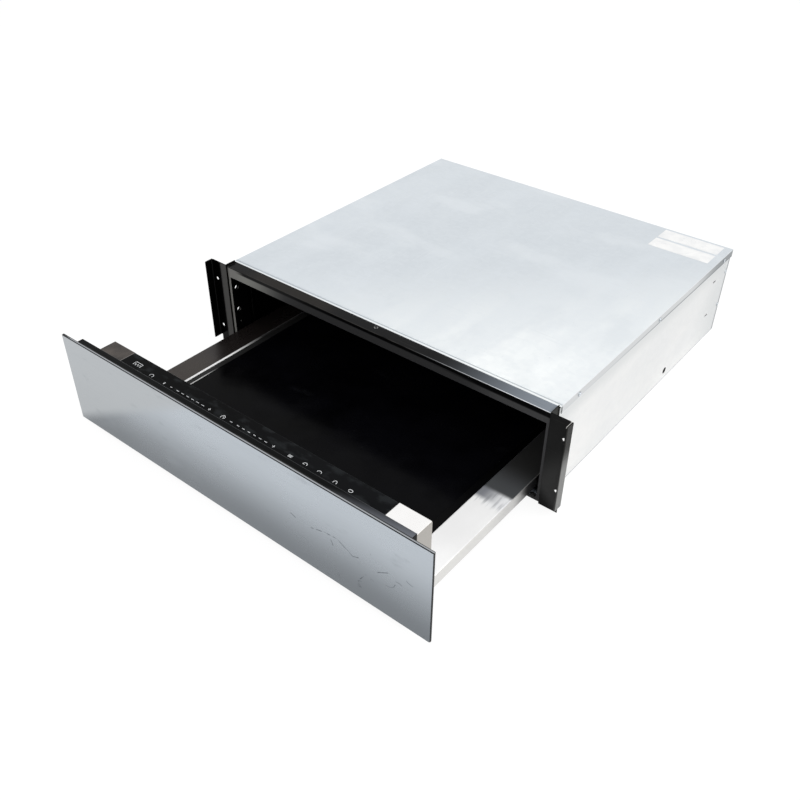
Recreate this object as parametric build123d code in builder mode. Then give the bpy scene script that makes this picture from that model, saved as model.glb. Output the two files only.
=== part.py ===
from build123d import *

import os

# Built-in warming drawer, drawn with its drawer pulled part of the way out.
# Millimetres. X runs to the right seen from the front, Y runs backwards, Z runs up.
# The origin is on the resting surface, in the middle of the frame's front face.
# Spans are (low, high) pairs. "side" pieces are drawn for the right and mirrored by sign.

os.makedirs("parts", exist_ok=True)

# ---------------------------------------------------------------- driving dimensions
# Overall. The front panel is the widest piece, and the casing hangs in from it.
panel_width = 595.0
housing_back = 520.0
housing_height = 139.5
side_margin = 23.5

# Casing
casing_sheet = 1.0
rim_drop = 12.0
rim_setback = 4.0
rear_return = 11.0
frame_depth = 16.0
frame_sheet = 1.2
frame_head = 16.5
frame_side_face = 4.4
opening_bottom = 5.0

# Mounting flanges
flange_sheet = 1.1
flange_fold = 0.3
flange_step = 3.0
flange_rise = 3.2
lip_play = 1.0
lip_depth = 16.0
lip_bottom = 13.5
flange_leg_depth = 40.0
fixing_inset = 8.5
fixing_spacing = 80.0
fixing_radius = 2.5
adjuster_holes = ((32.0, 3.5), (-4.75, 3.5), (-25.75, 1.8))
adjuster_y = 9.3
adjuster_play = 1.0

# Drawer front
panel_bottom = 6.0
panel_top_drop = 0.5
panel_skin = 1.2
panel_board = 2.8
panel_reveal = 0.4
carrier_inset = 28.8
carrier_depth = 8.0
carrier_bottom = 8.0
carrier_top_drop = 0.2

# Control box behind the front
box_depth = 37.5
box_head_play = 2.0
box_inset = 2.0
post_width = 42.5
control_glass_thickness = 3.2

# Tray
drawer_side_play = 5.0
ledge_top = 34.0
ledge_width = 41.8
ledge_drop = 5.0
tray_sheet = 1.0
pan_bottom = 7.0
glass_thickness = 4.0
glass_below_ledge = 1.0
trim_width = 9.7
back_wall_drop = 22.0
rear_space = 37.0
bend_radius = 1.5

# Runners, one pair, each of three members on two ball races
runner_thickness = 12.7
rail_sheet = 1.2
runner_front = 12.0
runner_back_space = 55.0
ledge_to_runner = 1.0
runner_bottom = 8.0
ball_radius = 1.2
ball_play = 0.05
rail_gap = 1.8
ball_end = 10.0
fixed_lip_short = 2.3
lip_tip_gap = 0.5
drawer_lip_gap = 2.0
cage_sheet = 0.8
cage_short = 16.5
cage_ahead = 1.25
balls_in_row = 9
middle_ahead = 1.5
member_shortfall = 10.0
travel_short = 23.0

# How far the drawer stands out from its closed place, and the play between pieces
drawer_pulled = 237.0
closed_gap = 9.0
running_gap = 0.5
screw_gap = 0.1

# Screws and rivets
screw_radius = 1.6
screw_head_radius = 3.2
screw_head_height = 1.3
rivet_radius = 1.5
rivet_head_radius = 2.4
rivet_head_height = 0.7

# ---------------------------------------------------------------- sizes worked out
half_panel = panel_width / 2
half_housing = half_panel - side_margin
rim_inside = half_housing - casing_sheet
wall_inside = rim_inside - casing_sheet
cover_under = housing_height - casing_sheet
back_inside = housing_back - 2 * casing_sheet
back_face = back_inside - casing_sheet
frame_side_back = wall_inside - flange_sheet
half_opening = frame_side_back - frame_side_face
opening_top = cover_under - frame_head
frame_middle_z = cover_under / 2
sides = (("left", -1), ("right", 1))

carrier_back = -closed_gap - drawer_pulled
carrier_front = carrier_back - carrier_depth
panel_top = housing_height - panel_top_drop
box_back = carrier_back + box_depth
box_top = opening_top - box_head_play
tray_length = back_face - rear_space + closed_gap
tray_back = carrier_back + tray_length
tray_back_top = opening_top - back_wall_drop
glass_top = ledge_top - glass_below_ledge
glass_under = glass_top - glass_thickness

ledge_outer = half_opening - drawer_side_play
ledge_inner = ledge_outer - ledge_width
skirt_inside = ledge_outer - tray_sheet
half_box = ledge_outer - box_inset
half_control = half_box - post_width

runner_length = back_face - runner_back_space - runner_front
member_length = runner_length - member_shortfall
full_travel = runner_length - travel_short
runner_inside = skirt_inside - runner_thickness
outer_half = (ledge_top - tray_sheet - ledge_to_runner - runner_bottom) / 2
runner_middle = runner_bottom + outer_half
race = 2 * (ball_radius + ball_play)
middle_half = outer_half - rail_sheet - race
inner_half = middle_half - rail_sheet - race


def span_middle(span):
    """The middle of a (low, high) pair."""
    return (span[0] + span[1]) / 2


def slab(x_span, y_span, z_span, mode=Mode.ADD):
    """A flat block in the part being built, from its spans along X, Y and Z."""
    with BuildSketch(Plane.XY.offset(z_span[0])) as footprint:
        with Locations((span_middle(x_span), span_middle(y_span))):
            Rectangle(x_span[1] - x_span[0], y_span[1] - y_span[0])
    extrude(footprint.sketch, amount=z_span[1] - z_span[0], mode=mode)


def side_span(sign, near, far):
    """The X span of a side piece, given by its distances from the middle."""
    return (near, far) if sign > 0 else (-far, -near)


def around(middle, half):
    """The span that reaches the same way on both sides of a middle."""
    return (middle - half, middle + half)


def bent_along_y(points, thickness, radius, y_span):
    """A bent sheet whose middle line is drawn in X and Z and carried along Y."""
    with BuildSketch(Plane.XZ.offset(-y_span[1])) as section:
        with BuildLine() as fold:
            FilletPolyline(*points, radius=radius)
        trace(fold.line, line_width=thickness)
    extrude(section.sketch, amount=y_span[1] - y_span[0])


def hole_across(sign, spots, depth_span, mode=Mode.SUBTRACT):
    """Round holes or shanks along X through a side piece. Spots are (y, z, radius)."""
    plane = Plane.YZ.offset(sign * depth_span[0])
    for y, z, radius in spots:
        with BuildSketch(plane) as circle:
            with Locations((y, z)):
                Circle(radius)
        extrude(circle.sketch, amount=sign * (depth_span[1] - depth_span[0]), mode=mode)


def stack_up(spots, z_span, radius, mode=Mode.ADD):
    """Round posts or holes along Z. Spots are (x, y)."""
    with BuildSketch(Plane.XY.offset(z_span[0])) as circles:
        with Locations(*spots):
            Circle(radius)
    extrude(circles.sketch, amount=z_span[1] - z_span[0], mode=mode)


# ---------------------------------------------------------------- casing
vent_pitch = 12.0
vent_length = 34.0
vent_width = 3.0
floor_vents_across = 14
rear_vents_across = 18
floor_vent_y = (frame_depth + 104.0, back_inside - 88.0)
rear_vent_z = cover_under - 38.5
gland_x = 82.0 - wall_inside
gland_z = 60.0
gland_radius = 8.0

with BuildPart() as bottom_plate:
    slab((-rim_inside, rim_inside), (frame_depth, back_inside), (0, casing_sheet))
    with BuildSketch(Plane.XY):
        with Locations(*[(0, y) for y in floor_vent_y]):
            with GridLocations(vent_pitch, vent_length, floor_vents_across, 1):
                SlotOverall(vent_length, vent_width, rotation=90)
    extrude(amount=casing_sheet, mode=Mode.SUBTRACT)
bottom_plate.part.label = "bottom_plate"

cover_screw_ends = (frame_depth + 44.0, housing_back - 31.0)
cover_screw_y = (cover_screw_ends[0], span_middle(cover_screw_ends), cover_screw_ends[1])
cover_screw_z = housing_height - 6.5
rear_screw_y = back_inside - rear_return / 2
rear_screw_z = (47.0, cover_under - 33.5)
wall_slots = [(back_inside - 48.0, z) for z in rear_screw_z]
wall_slot_length = 9.0
wall_slot_width = 2.4
service_hole = (back_inside - 179.0, 15.0, 5.0)
screw_hole = screw_radius + screw_gap
cover_spots = [(y, cover_screw_z, screw_hole) for y in cover_screw_y]
rear_spots = [(rear_screw_y, z, screw_hole) for z in rear_screw_z]

for side, sign in sides:
    with BuildPart() as side_wall:
        slab(side_span(sign, wall_inside, rim_inside), (frame_depth, back_inside),
             (casing_sheet, cover_under))
        hole_across(sign, cover_spots + rear_spots + [service_hole], (wall_inside, rim_inside))
        with BuildSketch(Plane.YZ.offset(sign * wall_inside)):
            with Locations(*wall_slots):
                SlotOverall(wall_slot_length, wall_slot_width)
        extrude(amount=sign * casing_sheet, mode=Mode.SUBTRACT)
    side_wall.part.label = f"{side}_side_wall"
    export_step(side_wall.part, f"parts/{side}_side_wall.step")

with BuildPart() as rear_panel:
    slab((-wall_inside, wall_inside), (back_inside - casing_sheet, back_inside),
         (casing_sheet, cover_under))
    for side, sign in sides:
        slab(side_span(sign, wall_inside - casing_sheet, wall_inside),
             (back_inside - rear_return, back_inside), (casing_sheet, cover_under))
        hole_across(sign, rear_spots, (wall_inside - casing_sheet, wall_inside))
    with BuildSketch(Plane.XZ.offset(-back_inside)):
        with Locations((0, rear_vent_z)):
            with GridLocations(vent_pitch, vent_length, rear_vents_across, 1):
                SlotOverall(vent_length, vent_width, rotation=90)
        with Locations((gland_x, gland_z)):
            Circle(gland_radius + screw_gap)
    extrude(amount=casing_sheet, mode=Mode.SUBTRACT)
rear_panel.part.label = "rear_panel"

hem_groove = 0.5
hem_groove_depth = 0.33
hem_lines = (3.5, 6.0)

with BuildPart() as top_cover:
    slab((-half_housing, half_housing), (frame_depth, housing_back), (cover_under, housing_height))
    rim_span = (housing_height - rim_drop, housing_height)
    slab((-half_housing, half_housing), (housing_back - casing_sheet, housing_back), rim_span)
    for side, sign in sides:
        slab(side_span(sign, rim_inside, half_housing), (frame_depth + rim_setback, housing_back), rim_span)
        hole_across(sign, cover_spots, (rim_inside, half_housing))
    top_sides = top_cover.edges().group_by(Axis.Z)[-1].filter_by(Axis.Y)
    fillet(top_sides, casing_sheet / 2)
    for line in hem_lines:
        groove_y = frame_depth + line
        slab((-rim_inside, rim_inside), (groove_y, groove_y + hem_groove),
             (housing_height - hem_groove_depth, housing_height), Mode.SUBTRACT)
top_cover.part.label = "top_cover"

label_x = (half_housing - 107.0, half_housing - 12.0)
label_y = [(housing_back - far, housing_back - near) for far, near in ((68.0, 39.0), (34.0, 5.0))]
label_film = 0.15

with BuildPart() as blank_labels:
    for strip_y in label_y:
        slab(label_x, strip_y, (housing_height, housing_height + label_film))
blank_labels.part.label = "blank_labels"

# ---------------------------------------------------------------- front frame and flanges
tab_depth = 34.0
leg_depth = 30.0
top_lip_depth = 20.0
bottom_lip_depth = 10.0
frame_nose_radius = 0.8
frame_screw_spot = (0, frame_depth - 4.5)
buffer_x = half_opening - 4.5
buffer_z = opening_bottom + 3.0
buffer_radius = 3.6
buffer_length = 6.0
buffer_stud = 1.2
buffer_round = 2.5
gusset_above = 3.0
adjuster_spots = [(adjuster_y, frame_middle_z + rise, radius) for rise, radius in adjuster_holes]

with BuildPart() as front_frame:
    frame_top = cover_under
    top_face = (-frame_side_back, frame_side_back)
    slab(top_face, (0, frame_sheet), (opening_top, frame_top))
    slab(top_face, (0, tab_depth), (frame_top - frame_sheet, frame_top))
    slab((-half_opening, half_opening), (0, top_lip_depth), (opening_top, opening_top + frame_sheet))
    slab(top_face, (0, frame_sheet), (0, opening_bottom))
    slab(top_face, (0, frame_depth), (0, frame_sheet))
    slab((-half_opening, half_opening), (0, bottom_lip_depth),
         (opening_bottom - frame_sheet, opening_bottom))
    for side, sign in sides:
        slab(side_span(sign, half_opening, frame_side_back), (0, frame_sheet), (0, frame_top))
        slab(side_span(sign, half_opening, half_opening + frame_sheet), (0, leg_depth),
             (frame_sheet, frame_top))
        slab(side_span(sign, frame_side_back - frame_sheet, frame_side_back), (0, leg_depth),
             (frame_sheet, frame_top))
        slab(side_span(sign, half_opening, frame_side_back), (0, frame_depth), (0, frame_sheet))
        gusset_x = side_span(sign, buffer_x - buffer_radius, half_opening)
        slab(gusset_x, (0, frame_sheet), (opening_bottom, buffer_z + gusset_above))
        hole_across(sign, adjuster_spots, (half_opening, frame_side_back))
        with BuildSketch(Plane.XZ.offset(-frame_sheet)):
            with Locations((sign * buffer_x, buffer_z)):
                Circle(buffer_stud + screw_gap)
        extrude(amount=frame_sheet, mode=Mode.SUBTRACT)
    stack_up([frame_screw_spot], (frame_top - frame_sheet, frame_top), screw_hole, Mode.SUBTRACT)
    front_edges = front_frame.edges().group_by(Axis.Y)[0].filter_by(Axis.X)
    fillet(front_edges.group_by(Axis.Z)[-1], frame_nose_radius)
front_frame.part.label = "front_frame"

half_flange = flange_sheet / 2
leg_middle = wall_inside - half_flange
plate_middle = half_flange - flange_step
inner_lip_middle = half_panel + lip_play + half_flange
outer_lip_middle = inner_lip_middle + flange_sheet + flange_fold
flange_reach = outer_lip_middle + half_flange
fixing_x = flange_reach - fixing_inset
fixing_middle = frame_middle_z + flange_rise
fixing_z = (fixing_middle - fixing_spacing / 2, fixing_middle + fixing_spacing / 2)
flange_top = cover_under + flange_rise
lip_front = half_flange - lip_depth
fold_radius = 0.65
cutter = 1.0
corner_cut = 2.5

for side, sign in sides:
    with BuildPart() as flange:
        with BuildSketch(Plane.XY):
            with BuildLine() as flange_line:
                FilletPolyline((sign * leg_middle, flange_leg_depth),
                               (sign * leg_middle, plate_middle),
                               (sign * inner_lip_middle, plate_middle),
                               (sign * inner_lip_middle, lip_front),
                               (sign * outer_lip_middle, lip_front),
                               (sign * outer_lip_middle, plate_middle), radius=fold_radius)
            trace(flange_line.line, line_width=flange_sheet)
        extrude(amount=flange_top)
        lip_x = side_span(sign, half_panel, flange_reach + cutter)
        slab(lip_x, (-lip_depth - cutter, 0), (0, lip_bottom), Mode.SUBTRACT)
        leg_x = side_span(sign, frame_side_back, wall_inside)
        slab(leg_x, (frame_depth, flange_leg_depth), (0, casing_sheet), Mode.SUBTRACT)
        slab(leg_x, (frame_depth - running_gap, flange_leg_depth), (cover_under, flange_top),
             Mode.SUBTRACT)
        leg_spots = [(y, z, radius + adjuster_play) for y, z, radius in adjuster_spots]
        hole_across(sign, leg_spots, (frame_side_back - cutter, wall_inside + cutter))
        with BuildSketch(Plane.XZ):
            with Locations(*[(sign * fixing_x, z) for z in fixing_z]):
                Circle(fixing_radius)
        extrude(amount=flange_step + cutter, mode=Mode.SUBTRACT)
        with BuildSketch(Plane.YZ.offset(sign * half_panel)):
            with BuildLine():
                Polyline((-lip_depth - cutter, flange_top - corner_cut),
                         (-lip_depth + corner_cut, flange_top + cutter),
                         (-lip_depth - cutter, flange_top + cutter), close=True)
            make_face()
        extrude(amount=sign * (flange_reach + cutter - half_panel), mode=Mode.SUBTRACT)
    flange.part.label = f"{side}_mounting_flange"
    export_step(flange.part, f"parts/{side}_mounting_flange.step")

with BuildPart() as frame_buffers:
    for side, sign in sides:
        with BuildSketch(Plane.XZ) as dome:
            with Locations((sign * buffer_x, buffer_z)):
                Circle(buffer_radius)
        extrude(dome.sketch, amount=buffer_length)
        with BuildSketch(Plane.XZ.offset(-2 * frame_sheet)) as stud:
            with Locations((sign * buffer_x, buffer_z)):
                Circle(buffer_stud)
        extrude(stud.sketch, amount=2 * frame_sheet)
    fillet(frame_buffers.faces().group_by(Axis.Y)[0].edges(), buffer_round)
frame_buffers.part.label = "frame_buffers"

# ---------------------------------------------------------------- drawer front
panel_front = carrier_front - panel_board - panel_skin
skin_round = 0.4
board_chamfer = 0.6
carrier_round = 0.9
pad_play = 1.0
skin_x = (-half_panel + panel_reveal, half_panel - panel_reveal)
skin_z = (panel_bottom + panel_reveal, panel_top - panel_reveal)

with BuildPart() as front_panel:
    slab(skin_x, (panel_front, panel_front + panel_skin), skin_z)
    fillet(front_panel.faces().sort_by(Axis.Y)[0].edges(), skin_round)
front_panel.part.label = "front_panel"

with BuildPart() as panel_backing:
    slab((-half_panel, half_panel), (carrier_front - panel_board, carrier_front),
         (panel_bottom, panel_top))
    chamfer(panel_backing.faces().sort_by(Axis.Y)[-1].edges(), board_chamfer)
panel_backing.part.label = "panel_backing"

half_carrier = half_panel - carrier_inset
carrier_top = panel_top - carrier_top_drop
carrier_hollow_x = (-half_carrier + frame_sheet, half_carrier - frame_sheet)
carrier_hollow_z = (carrier_bottom + frame_sheet, carrier_top - frame_sheet)

with BuildPart() as front_carrier:
    slab((-half_carrier, half_carrier), (carrier_front, carrier_back), (carrier_bottom, carrier_top))
    fillet(front_carrier.edges().filter_by(Axis.X).group_by(Axis.Z)[-1], carrier_round)
    slab(carrier_hollow_x, (carrier_front, carrier_back - frame_sheet), carrier_hollow_z,
         Mode.SUBTRACT)
front_carrier.part.label = "front_carrier"

with BuildPart() as front_insulation:
    slab((carrier_hollow_x[0] + pad_play, carrier_hollow_x[1] - pad_play),
         (carrier_front, carrier_back - frame_sheet),
         (carrier_hollow_z[0] + pad_play, carrier_hollow_z[1] - pad_play))
front_insulation.part.label = "front_insulation"

# ---------------------------------------------------------------- control box
box_y = (carrier_back, box_back)
inner_y = (carrier_back, box_back - tray_sheet)
glass_seat = box_top - control_glass_thickness
housing_lift = 1.0
housing_floor = ledge_top + housing_lift
glass_round = 0.8

for side, sign in sides:
    with BuildPart() as post:
        slab(side_span(sign, half_control, half_box), box_y, (ledge_top, box_top))
        outer_corner = post.edges().filter_by(Axis.Y).group_by(Axis.Z)[-1].sort_by(Axis.X)
        fillet(outer_corner[-1 if sign > 0 else 0], bend_radius)
        slab(side_span(sign, half_control + tray_sheet, half_box - tray_sheet), inner_y,
             (ledge_top, box_top - tray_sheet), Mode.SUBTRACT)
    post.part.label = f"{side}_front_post"
    export_step(post.part, f"parts/{side}_front_post.step")

with BuildPart() as control_housing:
    slab((-half_control, half_control), box_y, (housing_floor, glass_seat))
    slab((-half_control + tray_sheet, half_control - tray_sheet), inner_y,
         (housing_floor + tray_sheet, glass_seat), Mode.SUBTRACT)
control_housing.part.label = "control_housing"

with BuildPart() as control_glass:
    slab((-half_control, half_control), box_y, (glass_seat, box_top))
    fillet(control_glass.edges().filter_by(Axis.X).group_by(Axis.Z)[-1].sort_by(Axis.Y)[-1], glass_round)
control_glass.part.label = "control_glass"

board_thickness = 1.6
board_end_gap = 12.0
board_side_gap = 5.0
touch_board_x = half_control - board_end_gap
touch_board_y = (carrier_back + board_side_gap, box_back - board_side_gap)
chip_half = 6.0
chip_height = 2.0
chip_places = (-0.73, -0.15, 0.44, 0.78)

with BuildPart() as touch_board:
    slab((-touch_board_x, touch_board_x), touch_board_y, (glass_seat - board_thickness, glass_seat))
    chip_top = glass_seat - board_thickness
    chip_y = span_middle(touch_board_y)
    for place in chip_places:
        chip_x = place * touch_board_x
        slab((chip_x - chip_half, chip_x + chip_half), (chip_y - chip_half, chip_y + chip_half),
             (chip_top - chip_height, chip_top))
touch_board.part.label = "touch_board"

power_board_x = 120.0
power_board_y = (carrier_back + 4.0, box_back - 4.5)
power_parts = ((-100, -68, 26), (-55, -37, 16), (-25, -7, 16), (10, 34, 12), (50, 58, 20), (70, 98, 10))
power_part_half = 8.0
standoff_height = 8.0
standoff_radius = 2.5
standoff_x = power_board_x - 8.0
standoff_half = 10.0
board_under = housing_floor + tray_sheet + standoff_height
board_top = board_under + board_thickness
board_middle = span_middle(power_board_y)
standoff_spots = [(x, board_middle + y) for x in (-standoff_x, standoff_x)
                  for y in (-standoff_half, standoff_half)]

with BuildPart() as power_board:
    slab((-power_board_x, power_board_x), power_board_y, (board_under, board_top))
    for x_low, x_high, height in power_parts:
        slab((x_low, x_high), (board_middle - power_part_half, board_middle + power_part_half),
             (board_top, board_top + height))
power_board.part.label = "power_board"

with BuildPart() as board_standoffs:
    stack_up(standoff_spots, (housing_floor + tray_sheet, board_under), standoff_radius)
board_standoffs.part.label = "board_standoffs"

# ---------------------------------------------------------------- tray
tray_y = (carrier_back, tray_back)
half_sheet = tray_sheet / 2
skirt_bottom = runner_middle - 3.0
drawer_member_y = (runner_front - drawer_pulled, runner_front - drawer_pulled + member_length)
rivets_a_side = 5
rivet_inset = 29.0
rivet_pitch = (member_length - 2 * rivet_inset) / (rivets_a_side - 1)
rivet_y = [drawer_member_y[0] + rivet_inset + rivet_pitch * step for step in range(rivets_a_side)]
rivet_spots = [(y, runner_middle, rivet_radius) for y in rivet_y]

for side, sign in sides:
    with BuildPart() as ledge:
        ledge_line = [(ledge_inner + half_sheet, glass_under - ledge_drop),
                      (ledge_inner + half_sheet, ledge_top - half_sheet),
                      (ledge_outer - half_sheet, ledge_top - half_sheet),
                      (ledge_outer - half_sheet, skirt_bottom)]
        bent_along_y([(sign * x, z) for x, z in ledge_line], tray_sheet, bend_radius, tray_y)
        hole_across(sign, rivet_spots, (skirt_inside, ledge_outer))
    ledge.part.label = f"{side}_ledge"
    export_step(ledge.part, f"parts/{side}_ledge.step")

pan_flange = 10.0
pan_round = 0.8
pan_inside = ledge_inner - tray_sheet

with BuildPart() as tray_pan:
    slab((-ledge_inner, ledge_inner), tray_y, (pan_bottom, glass_under))
    slab((-pan_inside, pan_inside), (carrier_back + tray_sheet, tray_back - tray_sheet),
         (pan_bottom + tray_sheet, glass_under - tray_sheet), Mode.SUBTRACT)
    slab((-ledge_inner + pan_flange, ledge_inner - pan_flange),
         (carrier_back + pan_flange, tray_back - pan_flange),
         (glass_under - tray_sheet, glass_under), Mode.SUBTRACT)
    fillet(tray_pan.edges().filter_by(Axis.Y).group_by(Axis.Z)[0], pan_round)
tray_pan.part.label = "tray_pan"

glass_play = 0.4
base_round = 0.4
glass_back = tray_back - tray_sheet - glass_play

with BuildPart() as glass_base:
    slab((-ledge_inner + glass_play, ledge_inner - glass_play), (carrier_back + glass_play, glass_back),
         (glass_under, glass_top))
    fillet(glass_base.edges().group_by(Axis.Z)[-1], base_round)
glass_base.part.label = "glass_base"

trim_outer = ledge_inner - glass_play
trim_inner = ledge_inner - trim_width
trim_drop = 0.2
trim_gap = 0.3
trim_round = 0.3
wall_foot = 10.0
wall_corner = 6.0

for side, sign in sides:
    with BuildPart() as trim:
        trim_y = (box_back + trim_gap, tray_back - wall_foot - trim_gap)
        slab(side_span(sign, trim_inner, trim_outer), trim_y, (glass_top, ledge_top - trim_drop))
        fillet(trim.edges().filter_by(Axis.Y).group_by(Axis.Z)[-1], trim_round)
    trim.part.label = f"{side}_glass_trim"
    export_step(trim.part, f"parts/{side}_glass_trim.step")

with BuildPart() as tray_back_wall:
    slab((-skirt_inside, skirt_inside), (tray_back - tray_sheet, tray_back), (ledge_top, tray_back_top))
    slab((-skirt_inside, skirt_inside), (tray_back - wall_foot, tray_back),
         (ledge_top, ledge_top + tray_sheet))
    fillet(tray_back_wall.edges().filter_by(Axis.Y).group_by(Axis.Z)[-1], wall_corner)
tray_back_wall.part.label = "tray_back_wall"

mat_thickness = 1.2
mat_x = ledge_inner - 19.7
mat_y = (box_back + 12.0, tray_back - 24.0)
mat_edge = 12.0
mat_ends = 10.0
track_x = mat_x - mat_edge
track_width = 6.0
track_pitch = 28.0
track_height = 0.4
mat_under = glass_under - mat_thickness
track_bottom = mat_under - track_height
pocket_radius = 9.0
pocket_depth = 13.0
cutout_spot = (-60.0, span_middle(mat_y) - 71.0)
sensor_spot = (75.0, span_middle(mat_y) + 29.0)

with BuildPart() as heating_mat:
    slab((-mat_x, mat_x), mat_y, (mat_under, glass_under))
    runs = int((mat_y[1] - mat_y[0] - 2 * mat_ends) // track_pitch)
    for run in range(runs):
        run_y = mat_y[0] + mat_ends + run * track_pitch
        slab((-track_x, track_x), (run_y, run_y + track_width), (track_bottom, mat_under))
        if run < runs - 1:
            turn = 1 if run % 2 else -1
            turn_x = side_span(turn, track_x - track_width, track_x)
            slab(turn_x, (run_y, run_y + track_pitch + track_width), (track_bottom, mat_under))
heating_mat.part.label = "heating_mat"

pad_gap = 0.2
pad_past_mat = 6.0
pad_inset = pan_flange + 2.0

with BuildPart() as insulation_pad:
    slab((-mat_x - pad_past_mat, mat_x + pad_past_mat), (carrier_back + pad_inset, tray_back - pad_inset),
         (pan_bottom + tray_sheet, track_bottom - pad_gap))
    pocket_span = (track_bottom - pocket_depth, track_bottom - pad_gap)
    stack_up([cutout_spot, sensor_spot], pocket_span, pocket_radius, Mode.SUBTRACT)
insulation_pad.part.label = "insulation_pad"

cutout_steps = ((0.0, 6.0, 7.5), (6.0, 10.0, 6.0))

with BuildPart() as thermal_cutout:
    for upper, lower, radius in cutout_steps:
        stack_up([cutout_spot], (track_bottom - lower, track_bottom - upper), radius)
thermal_cutout.part.label = "thermal_cutout"

sensor_height = 3.0
sensor_radius = 3.5

with BuildPart() as temperature_sensor:
    stack_up([sensor_spot], (track_bottom - sensor_height, track_bottom), sensor_radius)
temperature_sensor.part.label = "temperature_sensor"

latch_z = span_middle((ledge_top, tray_back_top))
connector_x = gland_x + 10.0
connector_z = latch_z + 4.0
connector_depth = 10.0


with BuildPart() as drawer_connector:
    slab(around(connector_x, 16.0), (tray_back, tray_back + connector_depth), around(connector_z, 9.0))
    slab(around(connector_x, 12.0), (tray_back + 3.0, tray_back + connector_depth),
         around(connector_z, 5.0), Mode.SUBTRACT)
    slab(around(connector_x, 22.0), (tray_back, tray_back + 1.5), around(connector_z, 11.0))
drawer_connector.part.label = "drawer_connector"

# ---------------------------------------------------------------- runners
# Each member's web, given by its distances from the middle of the drawer, then its lips
fixed_web = (runner_inside, runner_inside + rail_sheet)
middle_web = (fixed_web[1] + rail_gap, fixed_web[1] + rail_gap + rail_sheet)
drawer_web = (skirt_inside - rail_sheet, skirt_inside)
fixed_lip = (fixed_web[0], drawer_web[0] - fixed_lip_short)
middle_lip = (middle_web[0], drawer_web[0] - lip_tip_gap)
drawer_lip = (middle_web[1] + drawer_lip_gap, drawer_web[1])
fixed_y = (runner_front, runner_front + runner_length)
middle_front = runner_front - middle_ahead - drawer_pulled / 2
middle_y = (middle_front, middle_front + member_length)
outer_ball_x = middle_web[1] + 1.8
inner_ball_x = span_middle(drawer_lip) - 0.95
outer_ball_z = outer_half - rail_sheet - race / 2
inner_ball_z = middle_half - rail_sheet - race / 2
outer_cage_x = (fixed_web[1] + 0.55, middle_web[0] - 0.55)
inner_cage_x = (middle_web[1] + 0.5, middle_web[1] + 1.1)


def channel(sign, web, lip, half_height, y_span):
    """A C-shaped runner member lying along Y, with its web and its two lips."""
    slab(side_span(sign, *web), y_span, around(runner_middle, half_height))
    for up in (-1, 1):
        lip_middle = runner_middle + up * (half_height - rail_sheet / 2)
        slab(side_span(sign, *lip), y_span, around(lip_middle, rail_sheet / 2))


def ball_y(cage_y):
    """The places of the balls along one row of a cage."""
    step = (cage_y[1] - cage_y[0] - 2 * ball_end) / (balls_in_row - 1)
    return [cage_y[0] + ball_end + step * place for place in range(balls_in_row)]


def build_cage(sign, web_x, strip_x, ball_x, ball_z, cage_y):
    """A ball cage: a web between two members with a holed strip above and below."""
    strip_half = cage_sheet / 2
    slab(web_x, cage_y, around(runner_middle, ball_z + strip_half))
    for up in (-1, 1):
        strip_z = around(runner_middle + up * ball_z, strip_half)
        slab(strip_x, cage_y, strip_z)
        stack_up([(sign * ball_x, y) for y in ball_y(cage_y)], strip_z, ball_radius + ball_play,
                 Mode.SUBTRACT)


bracket_foot = 15.0
bracket_y = (frame_depth + 8.0, fixed_y[1])
bracket_screws_a_side = 4
bracket_screw_inset = 30.0
bracket_pitch = (bracket_y[1] - bracket_y[0] - 2 * bracket_screw_inset) / (bracket_screws_a_side - 1)
bracket_screw_y = [bracket_y[0] + bracket_screw_inset + bracket_pitch * step
                   for step in range(bracket_screws_a_side)]
bracket_screw_x = runner_inside - 8.5
cage_length = runner_length - full_travel / 2 - cage_short
cage_front = runner_front + full_travel / 4 + cage_ahead
outer_cage_front = cage_front - drawer_pulled / 4
inner_cage_front = cage_front - 0.75 * drawer_pulled
outer_cage_y = (outer_cage_front, outer_cage_front + cage_length)
inner_cage_y = (inner_cage_front, inner_cage_front + cage_length)
cages = (("outer", outer_cage_x, outer_ball_x, outer_ball_z, outer_cage_y, 2.5),
         ("inner", inner_cage_x, inner_ball_x, inner_ball_z, inner_cage_y, 1.7))

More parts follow.
